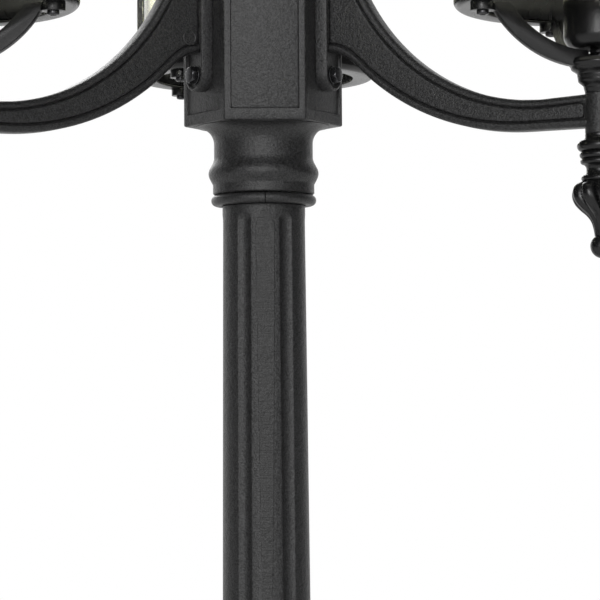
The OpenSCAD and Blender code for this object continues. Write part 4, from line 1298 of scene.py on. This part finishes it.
def buildBezel(look, end):
    front, back, outer, inner = look["front"], look["back"], look["outer"], look["inner"]
    glass, glassBack, glassFront = look["glass"], look["glassBack"], look["glassBack"] + look["glassThick"]
    pin, knuckleRound, knuckleHalf = look["pin"], look["knuckle"], look["knuckleHalf"]
    outline = [(glass, back), (outer - 0.8, back), (outer, back + 0.8), (outer, back + 4.5)]
    outline += arc(outer - 5.5, front - 5.5, 5.5, 12, 90, 10)
    outline += arc(inner + 7.5, front - 2.6, 3.2, 60, 180, 10)
    outline += [(inner + 3.4, front - 4.0)] + arc(inner + 1.2, front - 5.0, 1.2, 90, 180, 5)
    outline += [(inner, glassFront), (glass, glassFront)]
    ring = lathe([(r, -y) for r, y in outline], 220, closed=True, along="y")
    knuckle = lathe([(pin, -knuckleHalf), (knuckleRound - 0.4, -knuckleHalf),
                     (knuckleRound, -knuckleHalf + 0.4),
                     (knuckleRound, knuckleHalf - 0.4), (knuckleRound - 0.4, knuckleHalf), (pin,
                                                                                            knuckleHalf)],
                    40, closed=True)
    away = -look["hingeAway"] if end == "front" else look["hingeAway"]
    side = 1 if end == "front" else -1
    barFrom, barTo = sorted((away + side * (pin + 0.6), side * -(outer - 6)))
    strap = softBox((barFrom, -look["hingeAt"] - 4.5, -6.5), (barTo, -look["hingeAt"] + 5.0, 6.5), 1.2)
    clockPiece(end, "Bezel", joined(ring, moved(knuckle, (away, -look["hingeAt"], 0)), strap), blackCoat,
               end + "_bezel", (end + "_bezel",), crease=28)
    pane = lathe([(0, glassBack), (glass - 0.5, glassBack), (glass - 0.2, glassBack + 0.4),
                  (glass - 0.2, glassFront - 0.4), (glass - 0.5, glassFront - 0.1), (0,
                                                                                     glassFront - 0.1)], 160)
    pane = [(x, -z, y) for x, y, z in pane[0]], pane[1]
    clockPiece(end, "Glass", pane, dialGlass, end + "_bezel", (end + "_glass",), crease=30)
    band = [(glass - 3.6, glassBack - 1.6), (glass - 0.4, glassBack - 1.6), (glass - 0.4, glassBack - 0.1),
            (glass - 3.6, glassBack - 0.1)]
    seal = lathe([(r, -y) for r, y in band], 160, closed=True, along="y")
    clockPiece(end, "GlassSeal", seal, sealRubber, end + "_bezel")


def flatBar(length, width, thick, slant=0.0, serif=0.0):
    # an upright stroke of a numeral, with small feet at both ends
    half = width / 2
    shapes = [[(-half - slant / 2, 0), (half - slant / 2, 0), (half + slant / 2, length),
               (-half + slant / 2, length)]]
    if serif:
        for level, shift in ((0, -slant / 2), (length - 1.6, slant / 2)):
            shapes.append([(shift - half - serif, level), (shift + half + serif, level),
                           (shift + half + serif, level + 1.6), (shift - half - serif, level + 1.6)])
    parts = []
    for outline in shapes:
        points = [(x, 0.0, z) for x, z in outline] + [(x, -thick, z) for x, z in outline]
        faces = [(0, 1, 2, 3), (7, 6, 5, 4), (0, 4, 5, 1), (1, 5, 6, 2), (2, 6, 7, 3), (3, 7, 4, 0)]
        parts.append((points, faces))
    return joined(*parts)


def numeral(text, height, thick):
    # roman numeral strokes, centred, standing on level 0
    broad, narrow, gap = 5.2, 2.2, 3.4
    parts, pen = [], 0.0
    for letter in text:
        if letter == "I":
            parts.append(moved(flatBar(height, broad, thick, serif=1.4), (pen + broad / 2 + 1.4, 0, 0)))
            pen += broad + 2.8 + gap * 0.4
        elif letter == "V":
            parts.append(moved(flatBar(height, broad, thick, slant=-13, serif=1.2), (pen + 10.5, 0, 0)))
            parts.append(moved(flatBar(height, narrow, thick, slant=13, serif=1.2), (pen + 20.0, 0, 0)))
            pen += 30.5
        else:
            parts.append(moved(flatBar(height, broad, thick, slant=-18, serif=1.2), (pen + 14.0, 0, 0)))
            parts.append(moved(flatBar(height, narrow, thick, slant=18, serif=1.2), (pen + 14.0, 0, 0)))
            pen += 29.0
    return moved(joined(*parts), (-pen / 2, 0, 0))


def onDial(count, radius, skip=0):
    places = []
    for k in range(count):
        if skip and k % skip == 0:
            continue
        a = math.tau * k / count
        out = Vector((math.sin(a), 0, math.cos(a)))
        places.append((out * radius * mm, out))
    return places


def dialRing(look, radius, width):
    y = look["face"]
    band = [(radius, -y + 0.2), (radius + width, -y + 0.2), (radius + width, -y - look["ink"]),
            (radius, -y - look["ink"])]
    return lathe(band, 220, closed=True, along="y")


def buildDial(look, end):
    face, back = look["face"], look["face"] - look["thick"]
    plate = lathe([(look["hole"], -back), (look["radius"] - 0.3, -back), (look["radius"], -back - 0.3),
                   (look["radius"], -face + 0.3), (look["radius"] - 0.3, -face), (look["hole"] + 0.3, -face),
                   (look["hole"], -face + 0.3)], 180, closed=True, along="y")
    clockPiece(end, "Dial", plate, dialEnamel, "post", (end + "_dial",))
    texts = ["XII", "I", "II", "III", "IIII", "V", "VI", "VII", "VIII", "IX", "X", "XI"]
    shapes = []
    for k, text in enumerate(texts):
        upright = moved(numeral(text, look["numeralHigh"] - look["numeralLow"], look["ink"] + 0.2),
                        (0, -face + 0.2, look["numeralLow"]))
        shapes.append(moved(upright, (0, 0, 0), math.tau * k / 12, "Y"))
    shapes += [dialRing(look, look["railInner"], look["rail"]),
               dialRing(look, look["railOuter"], look["rail"])]
    clockPiece(end, "Numerals", joined(*shapes), dialBlack, "post")
    long = look["railOuter"] - look["railInner"]
    for kind, count, skip, width in (("Minute", 60, 5, look["minute"]), ("Hour", 12, 0, look["hour"])):
        mark = softBox((-width / 2, -0.2 - look["ink"], 0), (width / 2, 0.2, long), 0.15, 1)
        # instances look along their own Z, so the mark's face is turned to the dial's front afterwards
        places = onDial(count, look["railInner"] + look["rail"] / 2, skip)
        scatterMarks(end + kind + "Marks", mark, places, end, look)


def scatterMarks(name, mark, places, end, look):
    part = partObject(name + "Part", mark)
    host = runTree(name, markTree, pointsWithFacing(name, places), {"Part": part, "Material": dialBlack})
    piece = plainResult(name, host, "post")
    piece.data.transform(Matrix.Translation((0, 0, clockZ)) @ Matrix.Rotation(facing(end), 4, "Z")
                         @ Matrix.Translation((0, -look["face"] * mm, 0)))
    bpy.data.objects.remove(part)
    return piece


def makeMarkTree():
    # a mark at every point, turned about the dial's own axis to its place on the circle
    tree, given, result = newGeometryTree("dialMarks", [
        ("Part", "NodeSocketObject", None),
        ("Material", "NodeSocketMaterial", None),
    ])
    info = tree.nodes.new("GeometryNodeObjectInfo")
    link(tree, given.outputs["Part"], info.inputs["Object"])
    place = tree.nodes.new("GeometryNodeInputPosition")
    split = tree.nodes.new("ShaderNodeSeparateXYZ")
    link(tree, place.outputs[0], split.inputs[0])
    angle = mathIn(tree, "ARCTAN2", split.outputs[0], split.outputs[2])
    turn = tree.nodes.new("ShaderNodeCombineXYZ")
    link(tree, angle, turn.inputs[1])
    toRotation = tree.nodes.new("FunctionNodeEulerToRotation")
    link(tree, turn.outputs[0], toRotation.inputs[0])
    instance = tree.nodes.new("GeometryNodeInstanceOnPoints")
    link(tree, given.outputs["Geometry"], instance.inputs["Points"])
    link(tree, info.outputs["Geometry"], instance.inputs["Instance"])
    link(tree, toRotation.outputs[0], instance.inputs["Rotation"])
    endTree(tree, given, result, instance.outputs[0])
    return tree


markTree = makeMarkTree()
for end in ("front", "rear"):
    buildBezel(bezelLook, end)
    buildDial(dialLook, end)
print("clock ready")


# floor and light
floorLook = {"radius": 14.0, "grain": 3.0, "dark": (0.80, 0.80, 0.79), "light": (0.83, 0.83, 0.82),
             "rough": 0.8, "glow": 0.2}
softboxes = {
    "keySoftbox": {"place": (-0.9, -4.2, 2.9), "aim": (0, 0, 1.9), "size": (1.0, 1.4), "power": 45},
    "backSoftbox": {"place": (-0.6, 3.6, 3.4), "aim": (0, 0, 1.9), "size": (2.0, 1.6), "power": 30},
}


def buildFloor(look):
    work = bmesh.new()
    bmesh.ops.create_circle(work, cap_ends=True, segments=128, radius=look["radius"])
    data = bpy.data.meshes.new("studioFloor")
    work.to_mesh(data)
    work.free()
    floor = bpy.data.objects.new("studioFloor", data)
    scene.collection.objects.link(floor)
    material, tree, shader, coords = startMaterial("paleFloor")
    noise = nodeIn(tree, "ShaderNodeTexNoise", Scale=look["grain"], Detail=4.0)
    tree.links.new(coords, noise.inputs["Vector"])
    tree.links.new(rampIn(tree, noise.outputs[0], [(0.3, look["dark"]), (0.7, look["light"])]),
                   shader.inputs["Base Color"])
    shader.inputs["Roughness"].default_value = look["rough"]
    shader.inputs["Emission Color"].default_value = (1, 1, 1, 1)
    shader.inputs["Emission Strength"].default_value = look["glow"]
    data.materials.append(material)


# each light wall: its direction, where it begins and is full as a cosine, its strength
studio = {
    "ambient": 0.07,
    "front": ((-0.06, -1.0, 0.0), 0.6, 0.95, 1.55),
    "back": ((-0.10, 0.99, 0.05), 0.42, 0.86, 1.1),
    "above": ((0.0, -0.1, 0.99), 0.7, 0.97, 0.3),
    "below": ((0.0, 0.0, -1.0), 0.45, 0.95, 0.6),
}


def buildWorld(look):
    world = bpy.data.worlds.new("studio")
    scene.world = world
    world.use_nodes = True
    tree = world.node_tree
    background = tree.nodes["Background"]
    coords = tree.nodes.new("ShaderNodeTexCoord")
    total = None
    for wall in ("front", "back", "above", "below"):
        direction, low, high, strength = look[wall]
        towards = tree.nodes.new("ShaderNodeVectorMath")
        towards.operation = "DOT_PRODUCT"
        towards.inputs[1].default_value = direction
        tree.links.new(coords.outputs["Generated"], towards.inputs[0])
        spread = tree.nodes.new("ShaderNodeMapRange")
        spread.interpolation_type = "SMOOTHSTEP"
        spread.inputs[1].default_value, spread.inputs[2].default_value = low, high
        spread.inputs[4].default_value = strength
        tree.links.new(towards.outputs["Value"], spread.inputs[0])
        total = mathIn(tree, "ADD", spread.outputs[0], look["ambient"] if total is None else total)
    path = tree.nodes.new("ShaderNodeLightPath")
    seen = mathIn(tree, "MAXIMUM", path.outputs["Is Camera Ray"], path.outputs["Is Transmission Ray"])
    keep = mathIn(tree, "MULTIPLY", total, mathIn(tree, "SUBTRACT", 1.0, seen))
    tree.links.new(mathIn(tree, "ADD", keep, seen), background.inputs["Strength"])
    background.inputs["Color"].default_value = (1, 1, 1, 1)


def areaLight(name, place, aim, size, power):
    data = bpy.data.lights.new(name, "AREA")
    data.shape = "RECTANGLE"
    data.size, data.size_y = size
    data.energy = power
    lamp = bpy.data.objects.new(name, data)
    direction = Vector(aim) - Vector(place)
    lamp.matrix_world = Matrix.Translation(place) @ direction.to_track_quat("-Z", "Y").to_matrix().to_4x4()
    scene.collection.objects.link(lamp)


buildFloor(floorLook)
buildWorld(studio)
for name, box in softboxes.items():
    areaLight(name, box["place"], box["aim"], box["size"], box["power"])
scene.view_settings.view_transform = "Standard"
print("studio ready")
